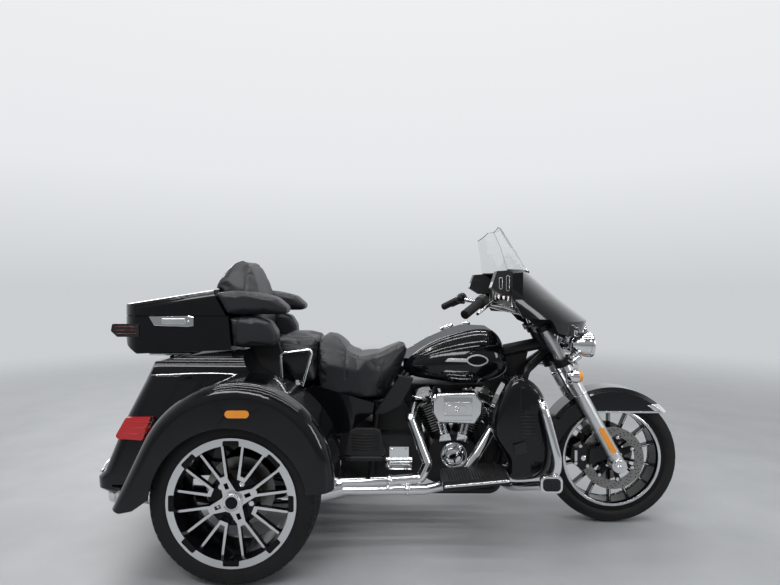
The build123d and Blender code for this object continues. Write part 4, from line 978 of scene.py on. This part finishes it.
# Bars, grips and switches
grip_bits, lever_bits, switch_bits = [], [], []
inner = Vector((0.328, 0.372, 1.078))
outer = Vector((0.25, 0.474, 1.031))
reach = outer - inner
grip_rings = 22
for side in (-1, 1):
    a = Vector((reach.x, side * reach.y, reach.z))
    start = Vector((inner.x, side * inner.y, inner.z))
    length, out = a.length, a.normalized()
    grip_ring = [(0, 0.0186), (0.0008, 0.0194), (0.0024, 0.0194), (0.0032, 0.0186)]
    for k in range(grip_rings):
        at = 0.006 + (length - 0.012) * k / (grip_rings - 1)
        grip_bits.append(lathe(grip_ring, start + out * at, a, 28))
    grip_bits.append(lathe([(0, 0.0196), (0.003, 0.0196)], start + out * (length - 0.003), a, 28))
    switch_bits.append(lathe([(-0.012, 0.024), (-0.004, 0.0268), (0.022, 0.0268), (0.03, 0.024)],
        start - out * 0.026, a, 32))
    lever_bits.append(pipe([(0.386, side * 0.352, 1.08), (0.36, side * 0.4, 1.069), (0.33, side * 0.445, 1.052),
        (0.302, side * 0.482, 1.036)], 0.0064, 12))
piece("grip_ribs", grip_bits, rubber, "steering")
piece("switch_blocks", switch_bits, frame_black, "steering")
piece("levers", lever_bits, chrome, "steering")

# Engine details: crank, lean of a cylinder, half its width at the fins
crank = Vector((0.243, 0, 0.3))
bank = math.radians(22.5)
fin_half = 0.0655


def up_bank(lean, up, ahead=0.0, y=0.0):
    """Point beside a cylinder: up from the crank, then square to that in the side view."""
    d = Vector((math.sin(lean), 0, math.cos(lean)))
    s = Vector((math.cos(lean), 0, -math.sin(lean)))
    return crank + d * up + s * ahead + Vector((0, y, 0)), d


def fin_rim(c, n):
    """One on the outer edge of a cooling fin."""
    for lean in (-bank, bank):
        d = Vector((math.sin(lean), 0, math.cos(lean)))
        up = (c - crank).dot(d)
        ahead = abs((c - crank).dot(Vector((d.z, 0, -d.x))))
        edge = abs(c.y) > fin_half or ahead > fin_half or abs(c.y) + ahead > 0.1045
        if edge and ahead < 0.09 and 0.165 < up < 0.305 and abs(n.dot(d)) < 0.2:
            return 1
    return 0


paint_faces("cylinders", [disc_steel], fin_rim)
rocker_bits, plug_bits = [], []
for lean in (-bank, bank):
    for side in (-1, 1):
        for ahead in (-0.056, 0.0, 0.056):
            at, d = up_bank(lean, 0.365, ahead, side * 0.0685)
            rocker_bits.append(bolt(at, d, 0.0055, 0.005))
    for k in range(4):
        at, d = up_bank(lean, 0.389, -0.036 + 0.024 * k, 0.0)
        rocker_bits.append(lathe([(0, 0.004), (0.0012, 0.0035)], at, d, 16))
    at, d = up_bank(lean, 0.322, 0.0, -0.069)
    plug_bits.append(lathe([(0, 0.012), (0.008, 0.012), (0.01, 0.0075), (0.03, 0.007), (0.032, 0.009), (0.052, 0.0085),
        (0.054, 0.004)], at, (0, -1, 0.15), 20))
piece("rocker_bolts", rocker_bits, chrome)
piece("plug_caps", plug_bits, rubber)

cam_mid, cover_y = (0.243, 0.35), -0.129
cam = [
    lathe([(0, 0.0605), (0.003, 0.06), (0.004, 0.055), (0.0015, 0.053)], (cam_mid[0], cover_y, cam_mid[1]), right_dir,
        64),
    lathe([(0, 0.04), (0.002, 0.0395), (0.0022, 0.036), (0.0008, 0.0345), (0.0008, 0.031), (0.0022, 0.0295),
        (0.0026, 0.01), (0.0028, 0.001)], (cam_mid[0], cover_y - 0.014, cam_mid[1]), right_dir, 64),
]
piece("cam_rings", cam, chrome)
cam_bolts = [bolt(wheel_point(cam_mid, cover_y - 0.001, 0.0535, t), right_dir, 0.0045) for t in range(18, 360, 60)]
cam_bolts += [bolt((x, -0.158, z), right_dir, 0.006, 0.005)
    for x, z in ((-0.064, 0.305), (0.032, 0.305), (-0.064, 0.336), (0.032, 0.336), (-0.048, 0.386), (0.018, 0.386))]
cam_bolts += [bolt((x, -0.125, z), right_dir, 0.0045, 0.004)
    for x, z in ((0.19, 0.43), (0.218, 0.437), (0.268, 0.437), (0.296, 0.43))]
piece("cover_bolts", cam_bolts, chrome, "chassis", False)
ribs = []
for z in (0.3135, 0.321, 0.3285):
    ribs.append(prism([(-0.07, z), (0.037, z), (0.037, z + 0.003), (-0.07, z + 0.003)], -0.1579, -0.16))
piece("gearbox_ribs", ribs, chrome, "chassis", False, 0.0006)

collars = []
for foot, head in ((0.19, 0.138), (0.212, 0.166), (0.274, 0.32), (0.296, 0.348)):
    a = Vector((head - foot, 0.014, 0.192)).normalized()
    for at, r in ((0.012, 0.0125), (0.06, 0.0112), (0.16, 0.0115)):
        collars.append(lathe([(0, r - 0.001), (0.001, r), (0.007, r), (0.008, r - 0.001)],
            Vector((foot, -0.1, 0.436)) + a * at, a, 24))
piece("pushrod_collars", collars, chrome)

# Air cleaner: a ribbed oval plate with a bare round boss
ac_low, ac_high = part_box("air_cleaner")
ac_y = ac_low.y
ac_mid = ((ac_low.x + ac_high.x) / 2, (ac_low.z + ac_high.z) / 2)


def rounded(cx, cz, half_x, half_z, r, steps=6):
    """Outline of a rectangle with round corners."""
    pts = []
    for sx, sz, start in ((1, 1, 0), (-1, 1, 90), (-1, -1, 180), (1, -1, 270)):
        for k in range(steps + 1):
            t = math.radians(start + 90 * k / steps)
            pts.append((cx + sx * (half_x - r) + r * math.cos(t), cz + sz * (half_z - r) + r * math.sin(t)))
    return pts


plates = [
    prism(rounded(ac_mid[0], ac_mid[1], 0.066, 0.026, 0.02), ac_y + 0.001, ac_y - 0.0035),
    prism(rounded(ac_mid[0] - 0.006, ac_mid[1], 0.046, 0.018, 0.0175), ac_y - 0.003, ac_y - 0.0055),
]
for low_z, high_z, low_out, high_out in ((0.03, 0.053, 0.0036, 0.0004), (-0.053, -0.03, 0.0004, 0.0036)):
    x0, x1 = ac_mid[0] - 0.064, ac_mid[0] + 0.064
    quad = [(x0, ac_y + 0.002, ac_mid[1] + low_z), (x1, ac_y + 0.002, ac_mid[1] + low_z),
        (x1, ac_y + 0.002, ac_mid[1] + high_z), (x0, ac_y + 0.002, ac_mid[1] + high_z)]
    outer_quad = [(x, ac_y - (low_out if i < 2 else high_out), z) for i, (x, y, z) in enumerate(quad)]
    plates.append((quad + outer_quad, slab_faces(4)))
piece("air_cleaner_plate", plates, chrome, "chassis", False, 0.0012, 3)
boss = [
    lathe([(0, 0.012), (0.0025, 0.0118), (0.003, 0.009), (0.0015, 0.008), (0.0018, 0.001)],
        (ac_mid[0] - 0.006, ac_y - 0.0052, ac_mid[1]), right_dir, 32),
    bolt((ac_mid[0] - 0.092, ac_y + 0.02, ac_mid[1]), right_dir, 0.005),
]
piece("air_cleaner_boss", boss, chrome)

# Exhaust: clamps, silencer bands, tips with their bores, slots of the shield
clamps = []
for y, z, x in ((-0.285, 0.284, -0.06), (-0.29, 0.246, 0.02), (-0.3, 0.264, -0.275)):
    clamps.append(lathe([(-0.011, 0.0235), (-0.01, 0.025), (0.01, 0.025), (0.011, 0.0235)], (x, y, z), (1, 0.03, 0),
        32))
    clamps.append(bolt((x, y - 0.025, z - 0.006), right_dir, 0.0045, 0.009))
piece("pipe_clamps", clamps, chrome)
tips, bores = [], []
tip_dir = Vector((-0.455, 0, 0.025)).normalized()
for side in (-1, 1):
    end = Vector((-1.255, side * 0.35, 0.261))
    tips.append(lathe([(-0.03, 0.044), (-0.028, 0.0462), (-0.003, 0.0462), (0.0, 0.044), (0.0, 0.0385),
        (-0.012, 0.0375)], end, tip_dir, 56))
    bores.append(lathe([(0.0006, 0.038), (0.0009, 0.001)], end, tip_dir, 40))
    for x, z in ((-0.47, 0.2375), (-1.1, 0.2525)):
        y = side * (0.34 if x > -0.6 else 0.35)
        tips.append(lathe([(-0.01, 0.0442), (-0.009, 0.0456), (0.009, 0.0456), (0.01, 0.0442)], (x, y, z),
            (1, 0, -0.05), 56))
piece("muffler_tips", tips, chrome)
piece("muffler_bores", bores, engine_black)
slot_x = [-0.52 - 0.055 * k for k in range(9)]
slots = [pipe([(x, -0.3945, 0.238), (x - 0.03, -0.3945, 0.238)], 0.0022, 8, False) for x in slot_x]
piece("shield_slots", slots, engine_black)

# Tank: bare medallion with a bar, console dial and switch
def oval(cx, cz, half_x, half_z, pinch=0.0, count=48):
    """Closed oval outline in the side view; pinch squares it off a little."""
    turns = [2 * math.pi * k / count for k in range(count)]
    return [(cx + half_x * math.cos(t) * (1 + pinch * math.cos(2 * t)), cz + half_z * math.sin(t)) for t in turns]


badge, fields = [], []
badge_x, badge_z = 0.35, 0.802
bar = [(x, badge_z - 0.008) for x in (0.202, 0.225, 0.25, 0.275, 0.3)]
bar += [(x, badge_z + 0.008) for x in (0.3, 0.275, 0.25, 0.225, 0.216)]
for side in (-1, 1):
    badge.append(plate_on("fuel_tank", oval(badge_x, badge_z, 0.047, 0.028, 0.1), side, 0.0022))
    fields.append(plate_on("fuel_tank", oval(badge_x, badge_z, 0.04, 0.021, 0.1), side, 0.003))
    badge.append(plate_on("fuel_tank", bar, side, 0.002))
piece("tank_medallions", badge, satin_alloy, "chassis", False)
piece("medallion_fields", fields, wheel_black, "chassis", False)
turned("console_dial", [(-0.004, 0.036), (0.008, 0.0345), (0.01, 0.031), (0.0075, 0.0295), (0.0075, 0.001)],
    (0.222, 0, 0.9445), (-0.31, 0, 0.95), chrome, "chassis")
turned("console_switch", [(-0.004, 0.02), (0.006, 0.019), (0.01, 0.015), (0.0115, 0.006), (0.0115, 0.001)],
    (0.318, 0, 0.9635), (0.06, 0, 1), chrome, "chassis")

# Body trim: chrome strips, latch and locks; the thin bead along each deck edge is a painted highlight, not a trim part
strips_and_edge_highlight = []
for side in (-1, 1):
    strips_and_edge_highlight.append(pipe([(-1.15, side * 0.232, 0.84), (-0.98, side * 0.232, 0.841), (-0.82, side * 0.232, 0.843)],
        0.0065, 14))
    # Thin chrome bead along the deck's side edge: a painted highlight where the edge catches light
    strips_and_edge_highlight.append(pipe([(-0.62, side * 0.432, 0.772), (-0.8, side * 0.434, 0.784), (-1.05, side * 0.434, 0.776)],
        0.003, 8))
tail = [(-1.262, -0.44), (-1.296, -0.34), (-1.322, -0.18), (-1.3345, 0), (-1.322, 0.18), (-1.296, 0.34), (-1.262, 0.44)]
strips_and_edge_highlight.append(pipe([(x + 0.0064, y, 0.378) for x, y in tail], 0.0065, 12))
piece("body_strips_and_edge_highlight", strips_and_edge_highlight, chrome)
latch = prism([(-1.12, 1.014), (-0.945, 1.017), (-0.922, 1.012), (-0.922, 0.972), (-0.945, 0.968), (-1.096, 0.974)],
    -0.2995, -0.3085)
soften(make("case_latch_plate", *latch, chrome, "chassis", False), 0.0025, 3)
hasp = prism(rounded(-1.01, 0.993, 0.052, 0.0125, 0.004), -0.308, -0.3115)
soften(make("case_latch_hasp", *hasp, satin_alloy, "chassis", False), 0.0015, 2)
turned("case_lock", [(0, 0.006), (0.002, 0.0058), (0.0022, 0.002), (0.0016, 0.001)], (-0.945, -0.3083, 0.993),
    right_dir, chrome, "chassis", 24)
turned("trunk_lock", [(0, 0.013), (0.004, 0.0125), (0.005, 0.009), (0.003, 0.008), (0.003, 0.001)],
    (-1.2915, 0, 0.436), (-0.93, 0, 0.37), chrome, "trunk_door", 32)

# Dark pieces behind the openings: rack tray, seat side panels, engine backing, fairing brackets
tray = [block((-1.09, -0.165, 0.826), (-0.735, 0.165, 0.856))]
for k in range(6):
    tray.append(block((-1.07 + 0.058 * k, -0.172, 0.832), (-1.05 + 0.058 * k, 0.172, 0.848)))
piece("rack_tray", tray, frame_black, "chassis", False, 0.004)
panels = [prism([(-0.702, 0.895), (-0.57, 0.895), (-0.553, 0.85), (-0.556, 0.7), (-0.64, 0.735), (-0.702, 0.76)],
    side * 0.15, side * 0.206) for side in (-1, 1)]
piece("seat_side_panels", panels, trim, "chassis", False, 0.006, 3)
backing = []
for side in (-1, 1):
    backing.append(prism([(0.0, 0.54), (0.0, 0.668), (0.09, 0.668), (0.1, 0.44), (0.045, 0.44)], side * 0.012,
        side * 0.03))
    backing.append(prism([(0.36, 0.285), (0.44, 0.285), (0.47, 0.34), (0.455, 0.42), (0.4, 0.47), (0.35, 0.47)],
        side * 0.012, side * 0.05))
    backing.append(prism([(0.06, 0.63), (0.06, 0.684), (0.23, 0.684), (0.4, 0.684), (0.4, 0.64), (0.24, 0.655)],
        side * 0.004, side * 0.026))
    for k in range(4):
        backing.append(pipe(bends([(0.356 + 0.016 * k, side * 0.054, 0.29), (0.362 + 0.016 * k, side * 0.054, 0.4),
            (0.33, side * 0.05, 0.47)], 0.05), 0.0065, 10, False))
piece("engine_backing", backing, engine_black, "chassis", False, 0.003)
brackets = [prism([(0.535, 1.118), (0.61, 1.108), (0.745, 1.02), (0.775, 0.95), (0.745, 0.908), (0.604, 0.975),
    (0.53, 1.06)], side * 0.148, side * 0.156) for side in (-1, 1)]
piece("fairing_brackets", brackets, trim, "steering", False, 0.002)

# Bare number plate and its lamp on the trunk lid
down = Vector((-0.422, 0, -0.906)).normalized()
proud = Vector((-0.906, 0, 0.422)).normalized()


def on_lid(name, middle, half_y, half_up, thick, r, mat):
    """A rounded plate that lies on the sloping trunk lid."""
    low = [Vector(middle) + Vector((0, across, 0)) - down * up for across, up in rounded(0, 0, half_y, half_up, r)]
    verts = low + [q + proud * thick for q in low]
    soften(make(name, verts, slab_faces(len(low)), mat, "trunk_door", False), 0.0015)


on_lid("plate_holder", (-1.235, 0, 0.56), 0.112, 0.066, 0.006, 0.012, trim)
on_lid("plate_blank", (-1.2404, 0, 0.5625), 0.102, 0.056, 0.002, 0.008, satin_alloy)
on_lid("plate_lamp", (-1.206, 0, 0.637), 0.04, 0.01, 0.016, 0.008, chrome)

# Leg shields: rolled shells that replace the plain ones
def pillow(outline, near, far, roll, rounds=2, grow=1.045):
    """A shell with a bulged outer face: an outline of (x, z) points from y = near out to y = far."""
    for _ in range(rounds):
        outline = [(a[0] * (1 - t) + b[0] * t, a[1] * (1 - t) + b[1] * t)
            for a, b in zip(outline, outline[1:] + outline[:1]) for t in (0.25, 0.75)]
    n = len(outline)
    cx, cz = sum(q[0] for q in outline) / n, sum(q[1] for q in outline) / n
    outline = [(cx + (x - cx) * grow, cz + (z - cz) * grow) for x, z in outline]
    side = 1 if far > near else -1
    verts = [(x, near, z) for x, z in outline]
    levels = [1.0, 0.995, 0.985, 0.97, 0.95, 0.92, 0.88, 0.83, 0.76, 0.68, 0.56, 0.42, 0.28, 0.14]
    for t in levels:
        drop = 0.35 * roll * t * t + 0.65 * roll * max(0.0, (t - 0.8) / 0.2) ** 3
        verts += [(cx + (x - cx) * t, far - side * drop, cz + (z - cz) * t) for x, z in outline]
    verts.append((cx, far, cz))
    faces = [tuple(range(n))]
    rows = len(levels)
    for r in range(rows):
        faces += [(r * n + i, r * n + (i + 1) % n, (r + 1) * n + (i + 1) % n, (r + 1) * n + i) for i in range(n)]
    faces += [(rows * n + i, rows * n + (i + 1) % n, (rows + 1) * n) for i in range(n)]
    return verts, faces


shield = [(0.452, 0.316), (0.468, 0.392), (0.428, 0.45), (0.392, 0.512), (0.402, 0.6), (0.44, 0.69), (0.49, 0.757),
    (0.548, 0.735), (0.596, 0.688), (0.618, 0.62), (0.632, 0.522), (0.64, 0.43), (0.622, 0.345), (0.568, 0.322)]
pods = piece("leg_pods", [pillow(shield, side * 0.222, side * 0.372, 0.03) for side in (-1, 1)], paint)
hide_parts("leg_shields")
pods.data.materials.append(trim)
for q in pods.data.polygons:
    if q.center.y * q.normal.y < 0 and abs(q.normal.y) > 0.9:
        q.material_index = 1
skins["leg_pods"] = tree_of(pods.data)
# Glove box doors with a seam round them and a vent grille
doors, door_seams, grilles = [], [], []
door = [(0.508, 0.712), (0.546, 0.716), (0.58, 0.682), (0.6, 0.622), (0.601, 0.604), (0.508, 0.604)]
for side in (-1, 1):
    doors.append(plate_on("leg_pods", door, side, 0.004))
    door_seams.append(plate_on("leg_pods", [(0.503, 0.718), (0.549, 0.722), (0.586, 0.686), (0.606, 0.624),
        (0.606, 0.598), (0.503, 0.598)], side, 0.0012))
    doors.append(plate_on("leg_pods", rounded(0.532, 0.625, 0.016, 0.007, 0.0065), side, 0.006))
    for k in range(9):
        z = 0.5 + 0.0145 * k
        x0, x1 = 0.5 + 0.02 * (z - 0.5), 0.57 + 0.02 * (z - 0.5)
        grilles.append(plate_on("leg_pods", [(x0, z), (x1, z), (x1, z + 0.0065), (x0, z + 0.0065)], side, 0.003))
piece("glove_doors", doors, paint, "chassis", False, 0.0016)
piece("glove_seams", door_seams, rubber, "chassis", False)
piece("shield_grilles", grilles, trim, "chassis", False)

# Guard pegs and footboard pads
peg_frames, peg_pads = [], []
peg_x, peg_z = 0.612, 0.328
for side in (-1, 1):
    peg_frames.append(prism(rounded(peg_x, peg_z, 0.046, 0.036, 0.022), side * 0.428, side * 0.452))
    peg_frames.append(lathe([(0, 0.012), (0.03, 0.012)], (0.616, side * 0.402, 0.322), (0, side, 0), 20))
    peg_pads.append(prism(rounded(peg_x, peg_z, 0.036, 0.026, 0.016), side * 0.45, side * 0.4555))
    for k in range(-2, 3):
        peg_pads.append(prism(rounded(peg_x + 0.012 * k, peg_z, 0.0036, 0.022, 0.0034), side * 0.455, side * 0.458))
piece("peg_frames", peg_frames, chrome, "chassis", False, 0.004, 3)
piece("peg_pads", peg_pads, trim, "chassis", False, 0.0012)
guards = []
for side in (-1, 1):
    path = [(0.572, 0.072, 0.64), (0.588, 0.23, 0.664), (0.59, 0.396, 0.65), (0.652, 0.42, 0.4), (0.616, 0.405, 0.312),
        (0.48, 0.26, 0.25), (0.456, 0.119, 0.236)]
    guards.append(pipe(bends([(x, side * y, z) for x, y, z in path], 0.052), 0.019, 24, False))
guard = piece("guard_bars", guards, chrome)
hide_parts("engine_guard")
pads, pad_edge = [], []
for side in (-1, 1):
    y0, y1 = side * 0.262, side * 0.412
    for k in range(19):
        x = 0.196 + 0.0114 * k
        z = 0.3345 + 0.00095 * k
        pads.append(pipe([(x, y0, z), (x, y1, z)], 0.0024, 8, False))
    pad_edge.append(pipe([(0.172, y1 + side * 0.01, 0.308), (0.3, y1 + side * 0.01, 0.32),
        (0.444, y1 + side * 0.01, 0.334)], 0.0062, 10))
piece("board_ribs", pads, rubber)
piece("board_edges", pad_edge, chrome)
for tag, side in (("right", -1), ("left", 1)):
    ribs = [pipe([(-0.222, side * 0.3465, 0.44 + 0.013 * k), (-0.103, side * 0.3465, 0.44 + 0.013 * k)], 0.0026, 8,
        False) for k in range(6)]
    piece("fold_board_ribs_" + tag, ribs, rubber, "board_" + tag)

# Dials, speakers and mirrors of the dash
dial_x = 0.4955


def on_dial(y, z, r, degrees, proud):
    """Point on a dial at a radius and an angle from straight up."""
    t = math.radians(degrees)
    return (dial_x - proud, y + r * math.sin(t), z + r * math.cos(t))


rings, dial_faces, marks, needles = [], [], [], []
for y, z, r in ((-0.062, 1.128, 0.046), (0.062, 1.128, 0.046), (-0.16, 1.108, 0.031), (0.16, 1.108, 0.031)):
    rings.append(lathe([(0, r), (0.004, r * 0.985), (0.005, r * 0.93), (0.001, r * 0.9)], (dial_x, y, z), back_dir,
        48))
    dial_faces.append(lathe([(0.0004, r * 0.9), (0.0006, 0.001)], (dial_x, y, z), back_dir, 40))
    for k in range(17):
        turn = -130 + 260 * k / 16
        marks.append(pipe([on_dial(y, z, r * reach, turn, 0.0012) for reach in (0.7, 0.84)], r * 0.016, 6, False))
    needles.append(pipe([on_dial(y, z, r * reach, -118, 0.0022) for reach in (-0.16, 0.7)], r * 0.022, 6, False))
    needles.append(lathe([(0, r * 0.09), (0.003, r * 0.07)], (dial_x - 0.0008, y, z), back_dir, 20))
piece("dial_rings", rings, disc_steel, "steering")
piece("dial_faces", dial_faces, wheel_black, "steering")
piece("dial_marks", marks, satin_alloy, "steering")
piece("dial_needles", needles, red_lens, "steering")
speaker, mesh_bits = [], []
for side in (-1, 1):
    y, z = side * 0.282, 1.096
    speaker.append(lathe([(0, 0.058), (0.005, 0.057), (0.006, 0.052), (0.002, 0.05)], (dial_x, y, z), back_dir, 48))
    for k in range(-7, 8):
        off = k * 0.0066
        half = math.sqrt(0.0495 ** 2 - off * off)
        for a, b in (((off, -half), (off, half)), ((-half, off), (half, off))):
            mesh_bits.append(pipe([(dial_x - 0.002, y + p, z + q) for p, q in (a, b)], 0.0011, 6, False))
piece("speaker_rings", speaker, disc_steel, "steering")
piece("speaker_grilles", mesh_bits, frame_black, "steering")
glass_bits, mouths, vents = [], [], []
for side in (-1, 1):
    y = side * 0.34
    glass_bits.append(([(0.3765, y - 0.027, 1.143), (0.3765, y + 0.027, 1.143), (0.3985, y + 0.027, 1.205),
        (0.3985, y - 0.027, 1.205)], [(0, 1, 2, 3)]))
    for x, half in ((0.416, 0.026), (0.446, 0.034)):
        vents.append(prism(rounded(x, 1.16, 0.0075, half, 0.0072), side * 0.3715, side * 0.3735))
        mouths.append(prism(rounded(x, 1.16, 0.0052, half - 0.003, 0.005), side * 0.3733, side * 0.3742))
cheeks = [prism([(0.466, 1.092), (0.512, 1.084), (0.512, 1.208), (0.466, 1.204)], side * 0.366, side * 0.3738)
    for side in (-1, 1)]
piece("fairing_cheeks", cheeks, paint, "steering", False, 0.003, 3)
piece("mirror_glass", glass_bits, reflector, "steering", False)
piece("vent_frames", vents, satin_alloy, "steering", False, 0.0008)
piece("vent_mouths", mouths, rubber, "steering", False)
seam = [(0.4545 + 0.16 * (1 - (k / 12 - 1) ** 2), 0.33 * (k / 12 - 1), 1.216) for k in range(25)]
make("screen_gasket", *pipe(seam, 0.0055, 10), rubber, "steering")
screws = [bolt((0.452 + 0.16 * (1 - (y / 0.33) ** 2) + 0.006, y, 1.222), (0.9, y * 1.2, 0.45), 0.006, 0.004, 20)
    for y in (-0.18, 0.0, 0.18)]
piece("screen_screws", screws, chrome, "steering")


# Floor and light. The room behind the camera is dimmer than the one ahead of it
back_dim = 0.36
wall = (0.6, 0.62, 0.64)


def depth_dim(n, l, depth):
    """Brightness of the room from how far a direction points ahead."""
    dim = add_node(n, "MapRange", From_Min=-0.55, From_Max=0.35, To_Min=back_dim, To_Max=1.0)
    l.new(depth, dim.inputs["Value"])
    return dim.outputs["Result"]


def mixed(n, l, share, first, second):
    """Two shaders mixed by a share of the second."""
    mix = n.new("ShaderNodeMixShader")
    for k, socket in enumerate((share, first.outputs[0], second.outputs[0])):
        l.new(socket, mix.inputs[k])
    return mix.outputs[0]


def larger(n, l, a, b):
    """The larger of two values."""
    top = add_node(n, "Math", "MAXIMUM")
    l.new(a, top.inputs[0])
    l.new(b, top.inputs[1])
    return top.outputs[0]


floor_mesh = bpy.data.meshes.new("floor")
floor_mesh.from_pydata([(-30, -30, 0), (30, -30, 0), (30, 30, 0), (-30, 30, 0)], [], [(0, 1, 2, 3)])
floor = bpy.data.objects.new("floor", floor_mesh)
bpy.context.scene.collection.objects.link(floor)
fm, fn, fl, fb = new_mat("floor_pale")
ft = noise(fn, fl, 3.0, 6.0)
fr = ramp(fn, fl, ft.outputs["Fac"], [(0.3, (0.33, 0.34, 0.35)), (0.7, (0.38, 0.39, 0.4))])
fl.new(fr.outputs["Color"], fb.inputs["Base Color"])
fb.inputs["Roughness"].default_value = 0.5
# The floor fades into the wall's colour away from the object
far = add_node(fn, "Emission", Color=(*wall, 1))
tcf = fn.new("ShaderNodeTexCoord")
aim = add_node(fn, "VectorMath", "NORMALIZE")
apart = fn.new("ShaderNodeSeparateXYZ")
away = add_node(fn, "VectorMath", "LENGTH")
fl.new(tcf.outputs["Object"], aim.inputs[0])
fl.new(tcf.outputs["Object"], away.inputs[0])
fl.new(aim.outputs["Vector"], apart.inputs[0])
fl.new(depth_dim(fn, fl, apart.outputs["Y"]), far.inputs["Strength"])
fade = add_node(fn, "MapRange", From_Min=2.2, From_Max=9.0)
fade.interpolation_type = "SMOOTHSTEP"
fl.new(away.outputs["Value"], fade.inputs["Value"])
fl.new(mixed(fn, fl, fade.outputs["Result"], fb, far), fn["Material Output"].inputs["Surface"])
floor.data.materials.append(fm)

world = bpy.data.worlds.new("studio")
bpy.context.scene.world = world
world.use_nodes = True
wn, wl = world.node_tree.nodes, world.node_tree.links
wn.clear()
lit = add_node(wn, "Background", Color=(0.93, 0.96, 1.0, 1), Strength=0.34)
seen = add_node(wn, "Background", Strength=1.0)
tc = wn.new("ShaderNodeTexCoord")
sep = wn.new("ShaderNodeSeparateXYZ")
wl.new(tc.outputs["Generated"], sep.inputs[0])
# Height: pale wall, brighter above, dark ceiling
height = ramp(wn, wl, sep.outputs["Z"], [(0.0, wall), (0.2, (0.8, 0.82, 0.84)), (0.5, (0.86, 0.87, 0.88)),
    (0.72, (0.3, 0.31, 0.33))])
shade = add_node(wn, "VectorMath", "SCALE")
wl.new(height.outputs["Color"], shade.inputs[0])
wl.new(depth_dim(wn, wl, sep.outputs["Y"]), shade.inputs["Scale"])
wl.new(shade.outputs["Vector"], seen.inputs["Color"])
# Camera, glossy and transmission rays see the room, the rest get a plain light
ray = wn.new("ShaderNodeLightPath").outputs
looked_at = larger(wn, wl, larger(wn, wl, ray["Is Camera Ray"], ray["Is Glossy Ray"]), ray["Is Transmission Ray"])
wl.new(mixed(wn, wl, looked_at, lit, seen), wn.new("ShaderNodeOutputWorld").inputs[0])


def softbox(name, at, to, size, power):
    """A large area lamp aimed at a point."""
    d = bpy.data.lights.new(name, "AREA")
    d.shape = "RECTANGLE"
    d.size, d.size_y = size
    d.energy = power
    o = bpy.data.objects.new(name, d)
    bpy.context.scene.collection.objects.link(o)
    o.location = at
    o.rotation_euler = (Vector(to) - Vector(at)).to_track_quat("-Z", "Y").to_euler()


softbox("key", (-1.6, -3.8, 4.0), (0, 0, 0.6), (3.6, 0.9), 95.0)
softbox("fill", (4.2, -3.0, 2.2), (0.3, 0, 0.7), (0.9, 2.2), 45.0)
softbox("back", (-3.2, 4.2, 3.0), (0, 0, 0.8), (2.4, 1.2), 85.0)
for row, y in enumerate((-2.1, -0.7, 0.7, 2.1)):
    softbox("strip_" + str(row), (0.0, y, 4.3), (0, y * 0.6, 0.5), (6.0, 0.14), 46.0)

view = bpy.context.scene.view_settings
view.view_transform = "Standard"
